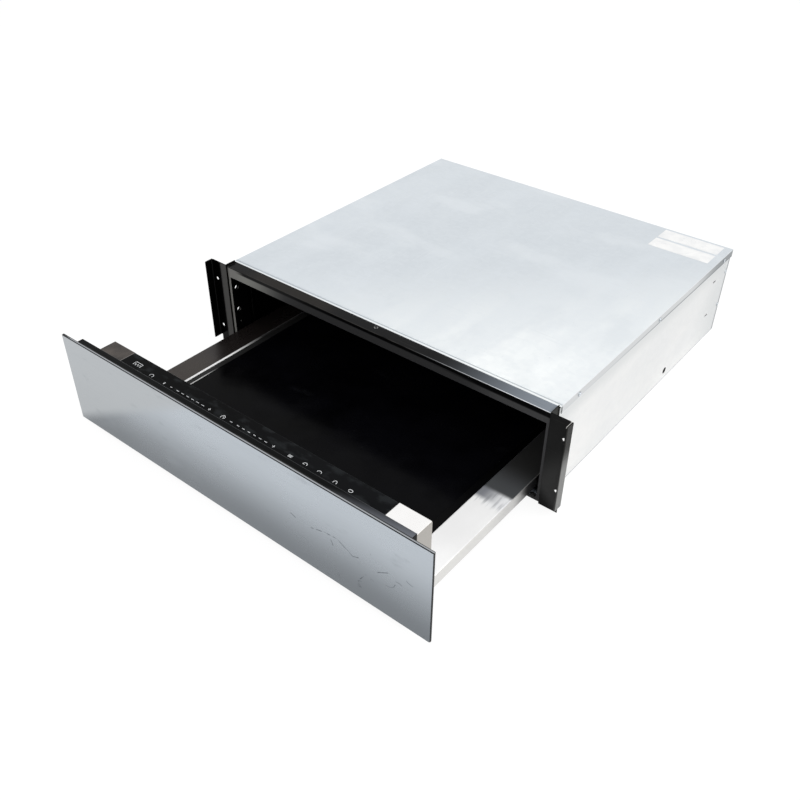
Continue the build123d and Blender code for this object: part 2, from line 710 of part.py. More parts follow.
for side, sign in sides:
    with BuildPart() as bracket:
        slab(side_span(sign, runner_inside - bracket_foot, runner_inside), bracket_y,
             (casing_sheet, casing_sheet + rail_sheet))
        slab(side_span(sign, runner_inside - rail_sheet, runner_inside), bracket_y,
             (casing_sheet, runner_middle + outer_half))
        stack_up([(sign * bracket_screw_x, y) for y in bracket_screw_y],
                 (casing_sheet, casing_sheet + rail_sheet), screw_hole, Mode.SUBTRACT)
    bracket.part.label = f"{side}_runner_bracket"
    export_step(bracket.part, f"parts/{side}_runner_bracket.step")

    with BuildPart() as fixed_member:
        channel(sign, fixed_web, fixed_lip, outer_half, fixed_y)
    fixed_member.part.label = f"{side}_runner_fixed_member"
    export_step(fixed_member.part, f"parts/{side}_runner_fixed_member.step")

    with BuildPart() as middle_member:
        channel(sign, middle_web, middle_lip, middle_half, middle_y)
    middle_member.part.label = f"{side}_runner_middle_member"
    export_step(middle_member.part, f"parts/{side}_runner_middle_member.step")

    with BuildPart() as drawer_member:
        channel(sign, drawer_web, drawer_lip, inner_half, drawer_member_y)
        hole_across(sign, rivet_spots, drawer_web)
    drawer_member.part.label = f"{side}_runner_drawer_member"
    export_step(drawer_member.part, f"parts/{side}_runner_drawer_member.step")

    for race_name, cage_x, ball_x, ball_z, cage_y, strip_past in cages:
        with BuildPart() as cage:
            build_cage(sign, side_span(sign, *cage_x), side_span(sign, cage_x[0], ball_x + strip_past),
                       ball_x, ball_z, cage_y)
        cage.part.label = f"{side}_{race_name}_ball_cage"
        export_step(cage.part, f"parts/{side}_{race_name}_ball_cage.step")

        with BuildPart() as balls:
            for up in (-1, 1):
                spots = [(sign * ball_x, y, runner_middle + up * ball_z) for y in ball_y(cage_y)]
                with Locations(*spots):
                    Sphere(ball_radius)
        balls.part.label = f"{side}_{race_name}_balls"
        export_step(balls.part, f"parts/{side}_{race_name}_balls.step")

# ---------------------------------------------------------------- behind the drawer
latch_travel = 6.0
latch_half_height = 11.0
plunger_radius = 4.0
plunger_round = 1.5
plunger_shown = 9.0
latch_front = tray_back + drawer_pulled + running_gap
latch_body_front = latch_front + plunger_shown
bore_end = back_face - 3.0

with BuildPart() as latch_body:
    slab(around(0, 14.0), (latch_body_front, back_face), around(latch_z, latch_half_height))
    slab(around(0, 24.0), (back_face - 2.0, back_face), around(latch_z, latch_half_height))
    with BuildSketch(Plane.XZ.offset(-bore_end)) as latch_bore:
        with Locations((0, latch_z)):
            Circle(plunger_radius + screw_gap)
    extrude(latch_bore.sketch, amount=bore_end - latch_body_front, mode=Mode.SUBTRACT)
latch_body.part.label = "latch_body"

with BuildPart() as latch_plunger:
    plunger_back = bore_end - latch_travel - running_gap
    with BuildSketch(Plane.XZ.offset(-plunger_back)):
        with Locations((0, latch_z)):
            Circle(plunger_radius)
    extrude(amount=plunger_back - latch_front)
    fillet(latch_plunger.faces().sort_by(Axis.Y)[0].edges(), plunger_round)
latch_plunger.part.label = "latch_plunger"

terminal_y = (back_face - 16.0, back_face)
terminal_z = (22.0, 44.0)
terminal_pitch = 16.0
terminal_bore = 3.0
terminal_bore_depth = 8.0

with BuildPart() as terminal_block:
    slab(around(gland_x, 1.5 * terminal_pitch), terminal_y, terminal_z)
    ways = [(gland_x + terminal_pitch * way, span_middle(terminal_y)) for way in (-1, 0, 1)]
    stack_up(ways, (terminal_z[1] - terminal_bore_depth, terminal_z[1]), terminal_bore, Mode.SUBTRACT)
terminal_block.part.label = "terminal_block"

gland_bore = 4.5
gland_reach = 9.0
gland_flange = 3.0
gland_flange_radius = 12.0
gland_cap_radius = 9.0
gland_rings = ((gland_flange_radius, back_inside, back_inside + gland_flange),
               (gland_cap_radius, back_inside + gland_flange, back_inside + gland_reach),
               (gland_radius, back_inside - gland_reach, back_inside))
nut_radius = 13.0
nut_thickness = 4.0

with BuildPart() as cable_gland:
    for radius, y_low, y_high in gland_rings:
        with BuildSketch(Plane.XZ.offset(-y_high)) as ring:
            with Locations((gland_x, gland_z)):
                Circle(radius)
                Circle(gland_bore, mode=Mode.SUBTRACT)
        extrude(ring.sketch, amount=y_high - y_low)
cable_gland.part.label = "cable_gland"

with BuildPart() as gland_nut:
    with BuildSketch(Plane.XZ.offset(-back_face)):
        with Locations((gland_x, gland_z)):
            RegularPolygon(nut_radius, 6)
            Circle(gland_radius + screw_gap, mode=Mode.SUBTRACT)
    extrude(amount=nut_thickness)
gland_nut.part.label = "gland_nut"

# ---------------------------------------------------------------- screws and rivets
drive_radius = 1.4
drive_depth = 0.8
frame_screw_head = 2.9
frame_screw_rise = 1.0
frame_screw_grip = 4.0
rivet_play = 0.05


def screw_across(sign, y, z, seat, grip):
    """One screw along X, its head on the seat and its shank reaching inwards."""
    head_x = seat + screw_head_height
    hole_across(sign, [(y, z, screw_head_radius)], (seat, head_x), Mode.ADD)
    hole_across(sign, [(y, z, screw_radius)], (seat - grip, seat), Mode.ADD)
    hole_across(sign, [(y, z, drive_radius)], (head_x - drive_depth, head_x), Mode.SUBTRACT)


with BuildPart() as cover_screws:
    for side, sign in sides:
        for y in cover_screw_y:
            screw_across(sign, y, cover_screw_z, half_housing, 2 * casing_sheet)
cover_screws.part.label = "cover_screws"

with BuildPart() as rear_screws:
    for side, sign in sides:
        for z in rear_screw_z:
            screw_across(sign, rear_screw_y, z, rim_inside, 2 * casing_sheet)
rear_screws.part.label = "rear_screws"

with BuildPart() as frame_screw:
    head_top = cover_under + frame_screw_rise
    stack_up([frame_screw_spot], (cover_under - frame_screw_grip, cover_under), screw_radius)
    stack_up([frame_screw_spot], (cover_under, head_top), frame_screw_head)
    stack_up([frame_screw_spot], (head_top - drive_depth, head_top), drive_radius, Mode.SUBTRACT)
frame_screw.part.label = "frame_screw"

with BuildPart() as bracket_screws:
    for side, sign in sides:
        spots = [(sign * bracket_screw_x, y) for y in bracket_screw_y]
        stack_up(spots, (casing_sheet, casing_sheet + rail_sheet), screw_radius)
        stack_up(spots, (casing_sheet + rail_sheet, casing_sheet + rail_sheet + screw_head_height),
                 screw_head_radius)
bracket_screws.part.label = "bracket_screws"

# The rivets are pressed flush with the skirt, and their heads lie inside the runner's channel.
rivet_head_x = (drawer_web[0] - rivet_head_height, drawer_web[0])

with BuildPart() as ledge_rivets:
    for side, sign in sides:
        for y in rivet_y:
            hole_across(sign, [(y, runner_middle, rivet_radius - rivet_play)],
                        (drawer_web[0], ledge_outer), Mode.ADD)
            hole_across(sign, [(y, runner_middle, rivet_head_radius)], rivet_head_x, Mode.ADD)
ledge_rivets.part.label = "ledge_rivets"

# ---------------------------------------------------------------- the rest of the files
single_parts = (
    bottom_plate, rear_panel, top_cover, blank_labels, front_frame, frame_buffers, front_panel,
    panel_backing, front_carrier, front_insulation, control_housing, control_glass, touch_board,
    power_board, board_standoffs, tray_pan, glass_base, tray_back_wall, heating_mat, insulation_pad,
    thermal_cutout, temperature_sensor, drawer_connector, latch_body, latch_plunger, terminal_block,
    cable_gland, gland_nut, cover_screws, rear_screws, frame_screw, bracket_screws, ledge_rivets)
for piece in single_parts:
    export_step(piece.part, f"parts/{piece.part.label}.step")
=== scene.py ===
import logging
import math
from dataclasses import dataclass
from enum import Enum

import bpy
import numpy as np
from mathutils import Matrix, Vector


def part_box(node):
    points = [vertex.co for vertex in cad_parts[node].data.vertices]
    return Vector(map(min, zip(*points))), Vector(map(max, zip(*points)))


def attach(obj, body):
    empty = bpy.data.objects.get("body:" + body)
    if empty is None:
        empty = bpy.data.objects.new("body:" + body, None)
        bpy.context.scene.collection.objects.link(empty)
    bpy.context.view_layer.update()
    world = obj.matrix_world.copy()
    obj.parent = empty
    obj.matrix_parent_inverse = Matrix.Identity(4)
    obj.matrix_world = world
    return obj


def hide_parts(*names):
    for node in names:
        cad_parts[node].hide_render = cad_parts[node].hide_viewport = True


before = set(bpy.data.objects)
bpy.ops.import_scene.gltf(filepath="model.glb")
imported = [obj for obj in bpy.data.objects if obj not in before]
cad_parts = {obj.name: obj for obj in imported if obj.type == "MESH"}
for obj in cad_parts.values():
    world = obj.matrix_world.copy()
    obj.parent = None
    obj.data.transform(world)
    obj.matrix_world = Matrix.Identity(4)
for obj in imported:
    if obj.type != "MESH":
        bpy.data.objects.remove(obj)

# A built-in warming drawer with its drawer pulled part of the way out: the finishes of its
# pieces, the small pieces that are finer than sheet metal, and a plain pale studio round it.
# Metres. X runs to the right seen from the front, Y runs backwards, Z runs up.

log = logging.getLogger("warming_drawer")
MM = 0.001
Place = tuple[float, float]
Size3 = tuple[float, float, float]
Tree = bpy.types.NodeTree
Socket = bpy.types.NodeSocket

# How finely the patterns are broken up, the cosines between which a face counts as turned one
# way, and the values of a pattern and of a strip that become 0 and 1.
CLOUD_DETAIL, LINE_DETAIL = 5.0, 2.0
TURNED_AWAY, TURNED_TO = 0.45, 0.75
EVEN_SPAN: Place = (0.3, 0.7)
BAND_SPAN: Place = (1.1, 0.7)


class Axis(Enum):
    """A direction of the object's frame."""

    X = 0
    Y = 1
    Z = 2

    def point(self, value: float) -> Size3:
        """A value on this axis, with 0 on the other two."""
        return tuple(value if axis is self else 0.0 for axis in Axis)


X, Y, Z = Axis


# ---------------- colours and nodes
def hex_to_linear(code: str) -> tuple[float, float, float, float]:
    """Turns an sRGB hex colour into the linear colour that a shader takes.

    Args:
        code: Six hex digits, red first.

    Returns:
        Red, green, blue and an alpha of 1.
    """
    parts = np.array([int(code[i:i + 2], 16) for i in (0, 2, 4)]) / 255.0
    linear = np.where(parts <= 0.04045, parts / 12.92, ((parts + 0.055) / 1.055) ** 2.4)
    return (*linear.tolist(), 1.0)


def empty_tree(owner: bpy.types.Material | bpy.types.World) -> Tree:
    """Gives a material or a world a node tree with nothing in it.

    Args:
        owner: The material or world.

    Returns:
        The node tree.
    """
    owner.use_nodes = True
    owner.node_tree.nodes.clear()
    return owner.node_tree


def add_node(tree: Tree, kind: str, values: dict | None = None,
             links: dict | None = None, **settings: object) -> bpy.types.NodeOutputs:
    """Adds a node with its settings and links.

    Args:
        tree: The node tree that the node goes into.
        kind: Blender's name for the kind of node, without its first part, ShaderNode.
        values: What to put on its input sockets, by socket name or number.
        links: The output sockets that feed its inputs, by socket name or number.
        settings: Properties of the node itself.

    Returns:
        The node's output sockets.
    """
    node = tree.nodes.new("ShaderNode" + kind)
    for key, value in settings.items():
        setattr(node, key, value)
    for key, value in (values or {}).items():
        node.inputs[key].default_value = value
    for key, source in (links or {}).items():
        tree.links.new(source, node.inputs[key])
    return node.outputs


class Pattern(Enum):
    """What a layer's pattern looks like."""

    CLOUDS = "soft blotches"
    SPANGLE = "flat crystals, each with its own tone"
    GRAIN = "straight lines drawn out along one direction"
    SLOPE = "a slow change from one side to the other"
    BAND = "a straight strip, which is 0 along its middle"
    HOOKS = "wandering lines, which are 0 along their middles"


class Mask:
    """A value from 0 to 1 at each point of a surface."""

    def output(self, tree: Tree) -> Socket:
        """Adds the mask's nodes.

        Args:
            tree: The material's node tree.

        Returns:
            The socket with the mask's value.
        """
        raise NotImplementedError


@dataclass(frozen=True)
class Layer(Mask):
    """One pattern over a surface, from 0 to 1.

    size_mm is the size of its features along X, Y and Z, or for a slope or a band the distance
    over which it goes from 0 to 1. span gives the pattern's values that become 0 and 1.
    """

    pattern: Pattern
    size_mm: Size3
    span: Place = EVEN_SPAN
    start_mm: Size3 = (0.0, 0.0, 0.0)

    def output(self, tree: Tree) -> Socket:
        """Adds nodes that spread the pattern over the surface and bring it into the span.

        Args:
            tree: The material's node tree.

        Returns:
            The socket with the mask's value.
        """
        place = add_node(tree, "TexCoord")["Object"]
        scale = tuple(1.0 / (size * MM) if size else 0.0 for size in self.size_mm)
        shift = tuple(-start * MM * times for start, times in zip(self.start_mm, scale))
        spread = add_node(tree, "Mapping", {"Scale": scale, "Location": shift}, {"Vector": place})[0]
        if self.pattern is Pattern.SPANGLE:
            raw = add_node(tree, "TexVoronoi", {"Scale": 1.0, "Randomness": 1.0},
                           {"Vector": spread})["Color"]
            raw = add_node(tree, "SeparateXYZ", None, {0: raw})[0]
        elif self.pattern in (Pattern.SLOPE, Pattern.BAND):
            raw = add_node(tree, "VectorMath", {1: (1.0, 1.0, 1.0)}, {0: spread},
                           operation="DOT_PRODUCT")["Value"]
        else:
            detail = CLOUD_DETAIL if self.pattern is Pattern.CLOUDS else LINE_DETAIL
            raw = add_node(tree, "TexNoise", {"Scale": 1.0, "Detail": detail}, {"Vector": spread})[0]
        middle = {Pattern.BAND: 0.0, Pattern.HOOKS: 0.5}.get(self.pattern)
        if middle is not None:
            raw = add_node(tree, "Math", {1: middle}, {0: raw}, operation="SUBTRACT")[0]
            raw = add_node(tree, "Math", None, {0: raw}, operation="ABSOLUTE")[0]
        return add_node(tree, "MapRange", {1: self.span[0], 2: self.span[1]},
                        {0: raw}, interpolation_type="SMOOTHSTEP")[0]


@dataclass(frozen=True)
class Facing(Mask):
    """The faces of a piece that look one way: 1 where they do, 0 where they don't."""

    way: Size3

    def output(self, tree: Tree) -> Socket:
        """Adds nodes that measure how far each face is turned that way.

        Args:
            tree: The material's node tree.

        Returns:
            The socket with the mask's value.
        """
        normal = add_node(tree, "NewGeometry")["True Normal"]
        raw = add_node(tree, "VectorMath", {1: self.way}, {0: normal}, operation="DOT_PRODUCT")["Value"]
        return add_node(tree, "MapRange", {1: TURNED_AWAY, 2: TURNED_TO}, {0: raw})[0]


@dataclass(frozen=True)
class BoxEdges(Mask):
    """A narrow band along the outer edges of a node's box.

    The distance to the nearest side of the box is turned into a closeness on each axis, and
    an edge is where two of the three are near 1 at once.
    """

    node: str
    width_mm: float

    def output(self, tree: Tree) -> Socket:
        """Adds nodes that take the greatest of the three products of two closenesses.

        Args:
            tree: The material's node tree.

        Returns:
            The socket with the mask's value.
        """
        low, high = (np.array(corner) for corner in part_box(self.node))
        place = add_node(tree, "TexCoord")["Object"]
        offset = add_node(tree, "VectorMath", {1: tuple((low + high) / 2)}, {0: place},
                          operation="SUBTRACT")[0]
        away = add_node(tree, "VectorMath", None, {0: offset}, operation="ABSOLUTE")[0]
        inside = add_node(tree, "VectorMath", {0: tuple((high - low) / 2)}, {1: away},
                          operation="SUBTRACT")[0]
        near = add_node(tree, "MapRange",
                        {7: (self.width_mm * MM,) * 3, 8: (0.0,) * 3, 9: (0.0,) * 3, 10: (1.0,) * 3},
                        {6: inside}, data_type="FLOAT_VECTOR")[1]
        axes = add_node(tree, "SeparateXYZ", None, {0: near})
        edge = None
        for first, second in ((0, 1), (1, 2), (0, 2)):
            pair = add_node(tree, "Math", None, {0: axes[first], 1: axes[second]},
                            operation="MULTIPLY")[0]
            edge = pair if edge is None else add_node(
                tree, "Math", None, {0: edge, 1: pair}, operation="MAXIMUM")[0]
        return edge


@dataclass(frozen=True)
class Pair(Mask):
    """Two masks in one: 1 where both of them are."""

    first: Mask
    second: Mask

    def output(self, tree: Tree) -> Socket:
        """The product of both."""
        return add_node(tree, "Math", None, {0: self.first.output(tree), 1: self.second.output(tree)},
                        operation="MULTIPLY")[0]


@dataclass(frozen=True)
class Mark:
    """What lies on a surface or wears it: dust, a scratch, a smear or a rubbed edge.

    It is where its layer is, as far as that lies within the other mask. Many marks here are painted light
    instead: painted highlights, painted reflections and painted shade.
    """

    layer: Mask
    colour: str
    strength: float = 1.0
    roughness: float = 0.3
    within: Mask | None = None


@dataclass(frozen=True)
class Finish:
    """How one material looks: two tones, two degrees of polish, a fine relief and its marks.

    Where the ground mask is 1, a metal is ground rough and scatters light, so it isn't metallic
    there.
    """

    name: str
    tones: tuple[str, str]
    tone: Layer
    polish: Place
    sheen: Layer
    relief: Layer
    relief_mm: float
    metallic: float = 0.0
    ior: float = 1.5
    coat: float = 0.0
    coat_roughness: float = 0.05
    specular: float = 0.5
    marks: tuple[Mark, ...] = ()
    ground: Mask | None = None

    def material(self) -> bpy.types.Material:
        """Makes the material, or finds it if it has been made.

        Returns:
            The material, with its colour, roughness and bump from its layers.
        """
        if self.name in bpy.data.materials:
            return bpy.data.materials[self.name]
        made = bpy.data.materials.new(self.name)
        tree = empty_tree(made)
        dark, pale = (hex_to_linear(code) for code in self.tones)
        colour = add_node(tree, "Mix", {6: dark, 7: pale}, {0: self.tone.output(tree)},
                          data_type="RGBA")[2]
        rough = add_node(tree, "MapRange", {3: self.polish[0], 4: self.polish[1]},
                         {0: self.sheen.output(tree)})[0]
        for mark in self.marks:
            mask = mark.layer if mark.within is None else Pair(mark.layer, mark.within)
            amount = add_node(tree, "Math", {1: mark.strength}, {0: mask.output(tree)},
                              operation="MULTIPLY")[0]
            colour = add_node(tree, "Mix", {7: hex_to_linear(mark.colour)},
                              {0: amount, 6: colour}, data_type="RGBA")[2]
            rough = add_node(tree, "Mix", {3: mark.roughness}, {0: amount, 2: rough},
                             data_type="FLOAT")[0]
        bump = add_node(tree, "Bump", {"Strength": 1.0, "Distance": self.relief_mm * MM},
                        {"Height": self.relief.output(tree)})[0]
        values = {"Metallic": self.metallic}
        links = {"Base Color": colour, "Roughness": rough, "Normal": bump}
        if self.metallic < 1.0:
            values |= {"IOR": self.ior, "Specular IOR Level": self.specular}
        if self.coat:
            values |= {"Coat Weight": self.coat, "Coat Roughness": self.coat_roughness}
        if self.ground is not None:
            links["Metallic"] = add_node(tree, "MapRange", {3: self.metallic, 4: 0.0},
                                         {0: self.ground.output(tree)})[0]
        shader = add_node(tree, "BsdfPrincipled", values, links)[0]
        add_node(tree, "OutputMaterial", None, {"Surface": shader})
        return made


# ---------------- the finishes
def on_axes(size_mm: tuple[float, ...]) -> Size3:
    """One size for all three axes, or a size for each."""
    return size_mm * 3 if len(size_mm) == 1 else size_mm


def clouds(*size_mm: float, span: Place = EVEN_SPAN) -> Layer:
    """Soft blotches, of one size or of a size along each axis."""
    return Layer(Pattern.CLOUDS, on_axes(size_mm), span)


def grain(*size_mm: float, span: Place = EVEN_SPAN) -> Layer:
    """Drawn-out lines, of one size or of a size along each axis."""
    return Layer(Pattern.GRAIN, on_axes(size_mm), span)


def crystals(*size_mm: float, span: Place) -> Layer:
    """Flat crystals, of one size or of a size along each axis."""
    return Layer(Pattern.SPANGLE, on_axes(size_mm), span)


def incline(start_mm: Size3, size_mm: Size3, span: Place = (0.0, 1.0)) -> Layer:
    """A change from 0 to 1 that starts at a point and runs over the given distances."""
    return Layer(Pattern.SLOPE, size_mm, span, start_mm)


def slope(axis: Axis, start_mm: float, size_mm: float) -> Layer:
    """A change from 0 to 1 along one axis, backwards where the size is negative."""
    return incline(axis.point(start_mm), axis.point(size_mm))


def band(axis: Axis, middle_mm: float, half_mm: float) -> Layer:
    """A soft-edged strip across one axis, half_mm from its middle to its edges."""
    return Layer(Pattern.BAND, axis.point(half_mm), BAND_SPAN, axis.point(middle_mm))


BLOTCHES = clouds(60)
WIDE_BLOTCHES = clouds(220, 160, 160)
FINE_GRIT = clouds(0.8)
SPANGLES = crystals(7, span=(0.0, 1.0))

# Hairline scuffs, one set along Y and one along X, as a sheet picks up when it is slid about.
SCUFF_ALONG = grain(1.4, 120, 1.4, span=(0.66, 0.74))
SCUFF_ACROSS = grain(110, 1.4, 1.4, span=(0.66, 0.74))
DUST = clouds(1.6, span=(0.70, 0.76))
RIGHTWARD, LEFTWARD = Facing((1, 0, 0)), Facing((-1, 0, 0))
UPWARD, DOWNWARD, FORWARD = Facing((0, 0, 1)), Facing((0, 0, -1)), Facing((0, -1, 0))


def scratch(first_mm: Place, last_mm: Place, half_mm: float = 0.6) -> Pair:
    """A straight scratch on the drawer's front.

    It is where a narrow strip along the scratch and a long one across it overlap.

    Args:
        first_mm: The X and Z of one end.
        last_mm: The X and Z of the other.
        half_mm: Half its width.

    Returns:
        The mask.
    """
    middle = ((first_mm[0] + last_mm[0]) / 2, 0.0, (first_mm[1] + last_mm[1]) / 2)
    run, rise = last_mm[0] - first_mm[0], last_mm[1] - first_mm[1]
    length = math.hypot(run, rise)
    along = (length ** 2 / 2 / run, 0.0, length ** 2 / 2 / rise)
    across = (-half_mm * length / rise, 0.0, half_mm * length / run)
    return Pair(*(Layer(Pattern.BAND, half, BAND_SPAN, middle) for half in (across, along)))


def inner_painted_shade(facing: Facing) -> Mark:
    """Painted shade: near-black on the inside face of a casing sheet, as the shade inside the casing."""
    return Mark(facing, "0B0B0C", 1.0, 0.6)


# Hot-dip galvanised sheet, skin-passed: a blue-white with crystals 7 mm across that only just
# show, slow drawn-out blotches and faint scuffs. Painted light: it pales towards the near
# corner; a painted shade line and a painted highlight line run along its front fold; the rim's
# side face is painted greyer, darker towards the rear, with a painted shade line along its
# lower edge; its outer edges carry a painted highlight; and its underside is painted
# near-black as the shade inside the casing.
COVER_ZINC = Finish(
    "galvanised_sheet_cover", ("D4DADF", "FCFFFF"),
    incline((-150, 200, 0), (300, -300, 0), (0.3, 1.9)),
    (0.34, 0.42), SPANGLES, FINE_GRIT, 0.002, metallic=1.0,
    marks=(Mark(clouds(60, 260, 60, span=(0.40, 0.62)), "DCE2E7", 0.40, 0.38),
           Mark(clouds(150, 70, 60, span=(0.52, 0.70)), "E4E9ED", 0.40, 0.34),
           Mark(clouds(46, 80, 60, span=(0.50, 0.72)), "CCD3D9", 0.22, 0.40),
           Mark(crystals(8, 6, 7, span=(0.3, 1.0)), "DFE5EA", 0.18, 0.36),
           Mark(SCUFF_ALONG, "F2F5F8", 0.22, 0.30, BLOTCHES),
           Mark(SCUFF_ACROSS, "C3CAD0", 0.22, 0.40, BLOTCHES),
           Mark(grain(1.2, 9, 1.2, span=(0.74, 0.77)), "AEB4B9", 0.5, 0.4, BLOTCHES),
           Mark(band(Y, 20.2, 1), "A9AFB3", 0.8, 0.4, UPWARD),
           Mark(band(Y, 16.6, 0.9), "FBFDFE", 0.8, 0.3, UPWARD),
           Mark(RIGHTWARD, "D2D4D5", 0.95, 0.40),
           Mark(slope(Y, 370, 110), "878C8F", 0.9, 0.4, RIGHTWARD),
           Mark(slope(Z, 130.6, -1.4), "6C7276", 0.85, 0.4, slope(Y, 60, 280)),
           Mark(BoxEdges("top_cover", 0.9), "F6F9FB", 0.8, 0.3),
           inner_painted_shade(DOWNWARD)))


def wall_zinc(name: str, inward: Facing) -> Finish:
    """The same sheet on a side, with soft blotches. Seen almost edge on to the light, it is
    painted paler as painted light, and painted darker just under the rim and towards the rear
    as painted shade. It is also darker along its rear edge.

    Args:
        name: The finish's name.
        inward: The faces inside the casing, which are painted near-black as shade.

    Returns:
        The finish.
    """
    return Finish(
        name, ("EAEBEB", "F1F1F0"), clouds(160, 200, 90, span=(0.35, 0.65)), (0.36, 0.46),
        SPANGLES, FINE_GRIT, 0.002, metallic=1.0,
        marks=(Mark(crystals(7, 8, 6, span=(0.4, 1.0)), "E4E6E7", 0.14, 0.40),
               Mark(SCUFF_ALONG, "D9DCDD", 0.25, 0.40, BLOTCHES),
               Mark(clouds(30, 60, 16, span=(0.66, 0.80)), "DCDEDF", 0.25, 0.46),
               Mark(slope(Z, 98, 28), "DDDFDF", 0.8, 0.42),
               Mark(slope(Y, 410, 100), "D3D6D7", 0.6, 0.42),
               Mark(slope(Y, 512, 2.5), "8F9396", 0.8, 0.40),
               inner_painted_shade(inward)))


LEFT_WALL_ZINC = wall_zinc("galvanised_sheet_left", RIGHTWARD)
RIGHT_WALL_ZINC = wall_zinc("galvanised_sheet_right", LEFTWARD)
REAR_ZINC = wall_zinc("galvanised_sheet_rear", FORWARD)

# Floor sheet, runner brackets and tray pan, out of the light: their darker tones are painted
# shade, and they are duller.
INNER_ZINC = Finish(
    "galvanised_sheet_inside", ("8C9297", "AEB5BA"), BLOTCHES, (0.42, 0.55), SPANGLES, FINE_GRIT, 0.004,
    metallic=1.0, marks=(Mark(SCUFF_ALONG, "C5CBCF", 0.3, 0.4, BLOTCHES), Mark(DUST, "6E6F6E", 0.4, 0.8)))


def enamel(name: str, node: str, tones: tuple[str, str], gloss: float, paint: tuple[Mark, ...] = ()
           ) -> Finish:
    """Gloss black stoved enamel on folded steel.

    It is a mirror with a faint orange peel and a little dusty. Along its edges it is a lighter
    brown-grey: a painted highlight, broken up in patches like rubbing.

    Args:
        name: The finish's name.
        node: The piece, whose box gives the edges of the painted highlight.
        tones: Its two blacks.
        gloss: How much it reflects, 0.5 for a full coat.
        paint: Painted reflections, highlights and shade on the coat, and a bare cut end.

    Returns:
        The finish.
    """
    return Finish(
        name, tones, WIDE_BLOTCHES, (0.12, 0.22), BLOTCHES, clouds(2.4), 0.003, specular=gloss,
        marks=(*paint, Mark(DUST, "77746F", 0.25, 0.7, BLOTCHES),
               Mark(grain(60, 1.2, 1.2, span=(0.68, 0.74)), "34312F", 0.5, 0.4, BLOTCHES),
               Mark(BoxEdges(node, 0.9), "6A6866", 0.5, 0.35, clouds(30, span=(0.25, 0.6)))))


# Painted light on the frame. Its top band is near black and brown-grey on its left, with a
# painted bluish reflection that grows to the right and a painted highlight along its nose. Its
# face is painted with a grey reflection that pales at both ends, darker towards its upper right,
# and black just under the nose as painted shade.
FRAME_ENAMEL = enamel("stoved_black_enamel_frame", "front_frame", ("050505", "0A0A0C"), 0.05,
    (Mark(UPWARD, "121213", 1.0, 0.2),
     Mark(band(X, -150, 82), "25221F", 0.8, 0.25, UPWARD),
     Mark(slope(X, 96, 190), "868D96", within=UPWARD),
     Mark(FORWARD, "363637", 1.0, 0.25),
     Mark(slope(X, -150, -85), "83837F", within=FORWARD),
     Mark(slope(X, 145, 60), "464647", within=FORWARD),
     Mark(slope(Z, 132.2, 1.8), "060607", within=FORWARD),
     Mark(Pair(slope(Z, 129.6, 2.2), slope(X, 80, 100)), "0A0A0B", within=FORWARD),
     Mark(slope(X, -236, -22), "7E7D7A", within=FORWARD),
     Mark(slope(Z, 136.2, 1), "080808", within=FORWARD),
     Mark(incline((0, 0, 138.5), (0, -1.7, 0.8), (-0.66, -0.34)), "F2F5FA", 1.0, 0.2,
          slope(X, 50, 190))))

# The flanges are black. A painted reflection of the pale floor lies in a strip next to the left
# one's leg and low on the right one's lip, and a painted highlight line runs down the left one's
# lip. The right one's face is painted grey with a soft lighter diagonal and a darker lower corner,
# as painted reflection and shade. The right lip's cut end is bare along its rim, with a painted
# highlight there.
LEFT_FLANGE_ENAMEL = enamel(
    "stoved_black_enamel_left_flange", "left_mounting_flange", ("020202", "050505"), 0.03,
    (Mark(slope(X, -284, 3), "4E4D4C", 1.0, 0.25, FORWARD),
     Mark(band(Y, -5, 1), "262626", 0.7, 0.25, RIGHTWARD)))
RIGHT_FLANGE_ENAMEL = enamel(
    "stoved_black_enamel_right_flange", "right_mounting_flange", ("050505", "0A0A0B"), 0.04,
    (Mark(FORWARD, "202020", 1.0, 0.25),
     Mark(incline((270, 0, 88), (60, 0, -50)), "3A3A3A", 0.9, 0.25, FORWARD),
     Mark(incline((280, 0, 30), (-30, 0, -30)), "0A0A0A", 0.9, 0.25, FORWARD),
     Mark(RIGHTWARD, "141411", 1.0, 0.25),
     Mark(slope(Z, 112, -40), "858584", within=RIGHTWARD),
     Mark(band(X, 298.2, 1), "D6D5D0", 0.9, 0.3, UPWARD)))

# Painted highlights: the carrier's folded top is painted lighter near its right end and along
# its rear bend, where it catches the light.
CARRIER_ENAMEL = enamel("stoved_black_enamel_carrier", "front_carrier", ("050505", "0B0B0C"), 0.04,
    (Mark(UPWARD, "090A0B", 1.0, 0.25),
     Mark(incline((136, -254, 0), (148, -30, 0)), "6C6F76", within=UPWARD),
     Mark(band(Y, -246.3, 0.8), "7C7F84", 0.15, 0.3, UPWARD)))
HOUSING_ENAMEL = enamel("stoved_black_enamel_box", "control_housing", ("050505", "0B0B0C"), 0.05)

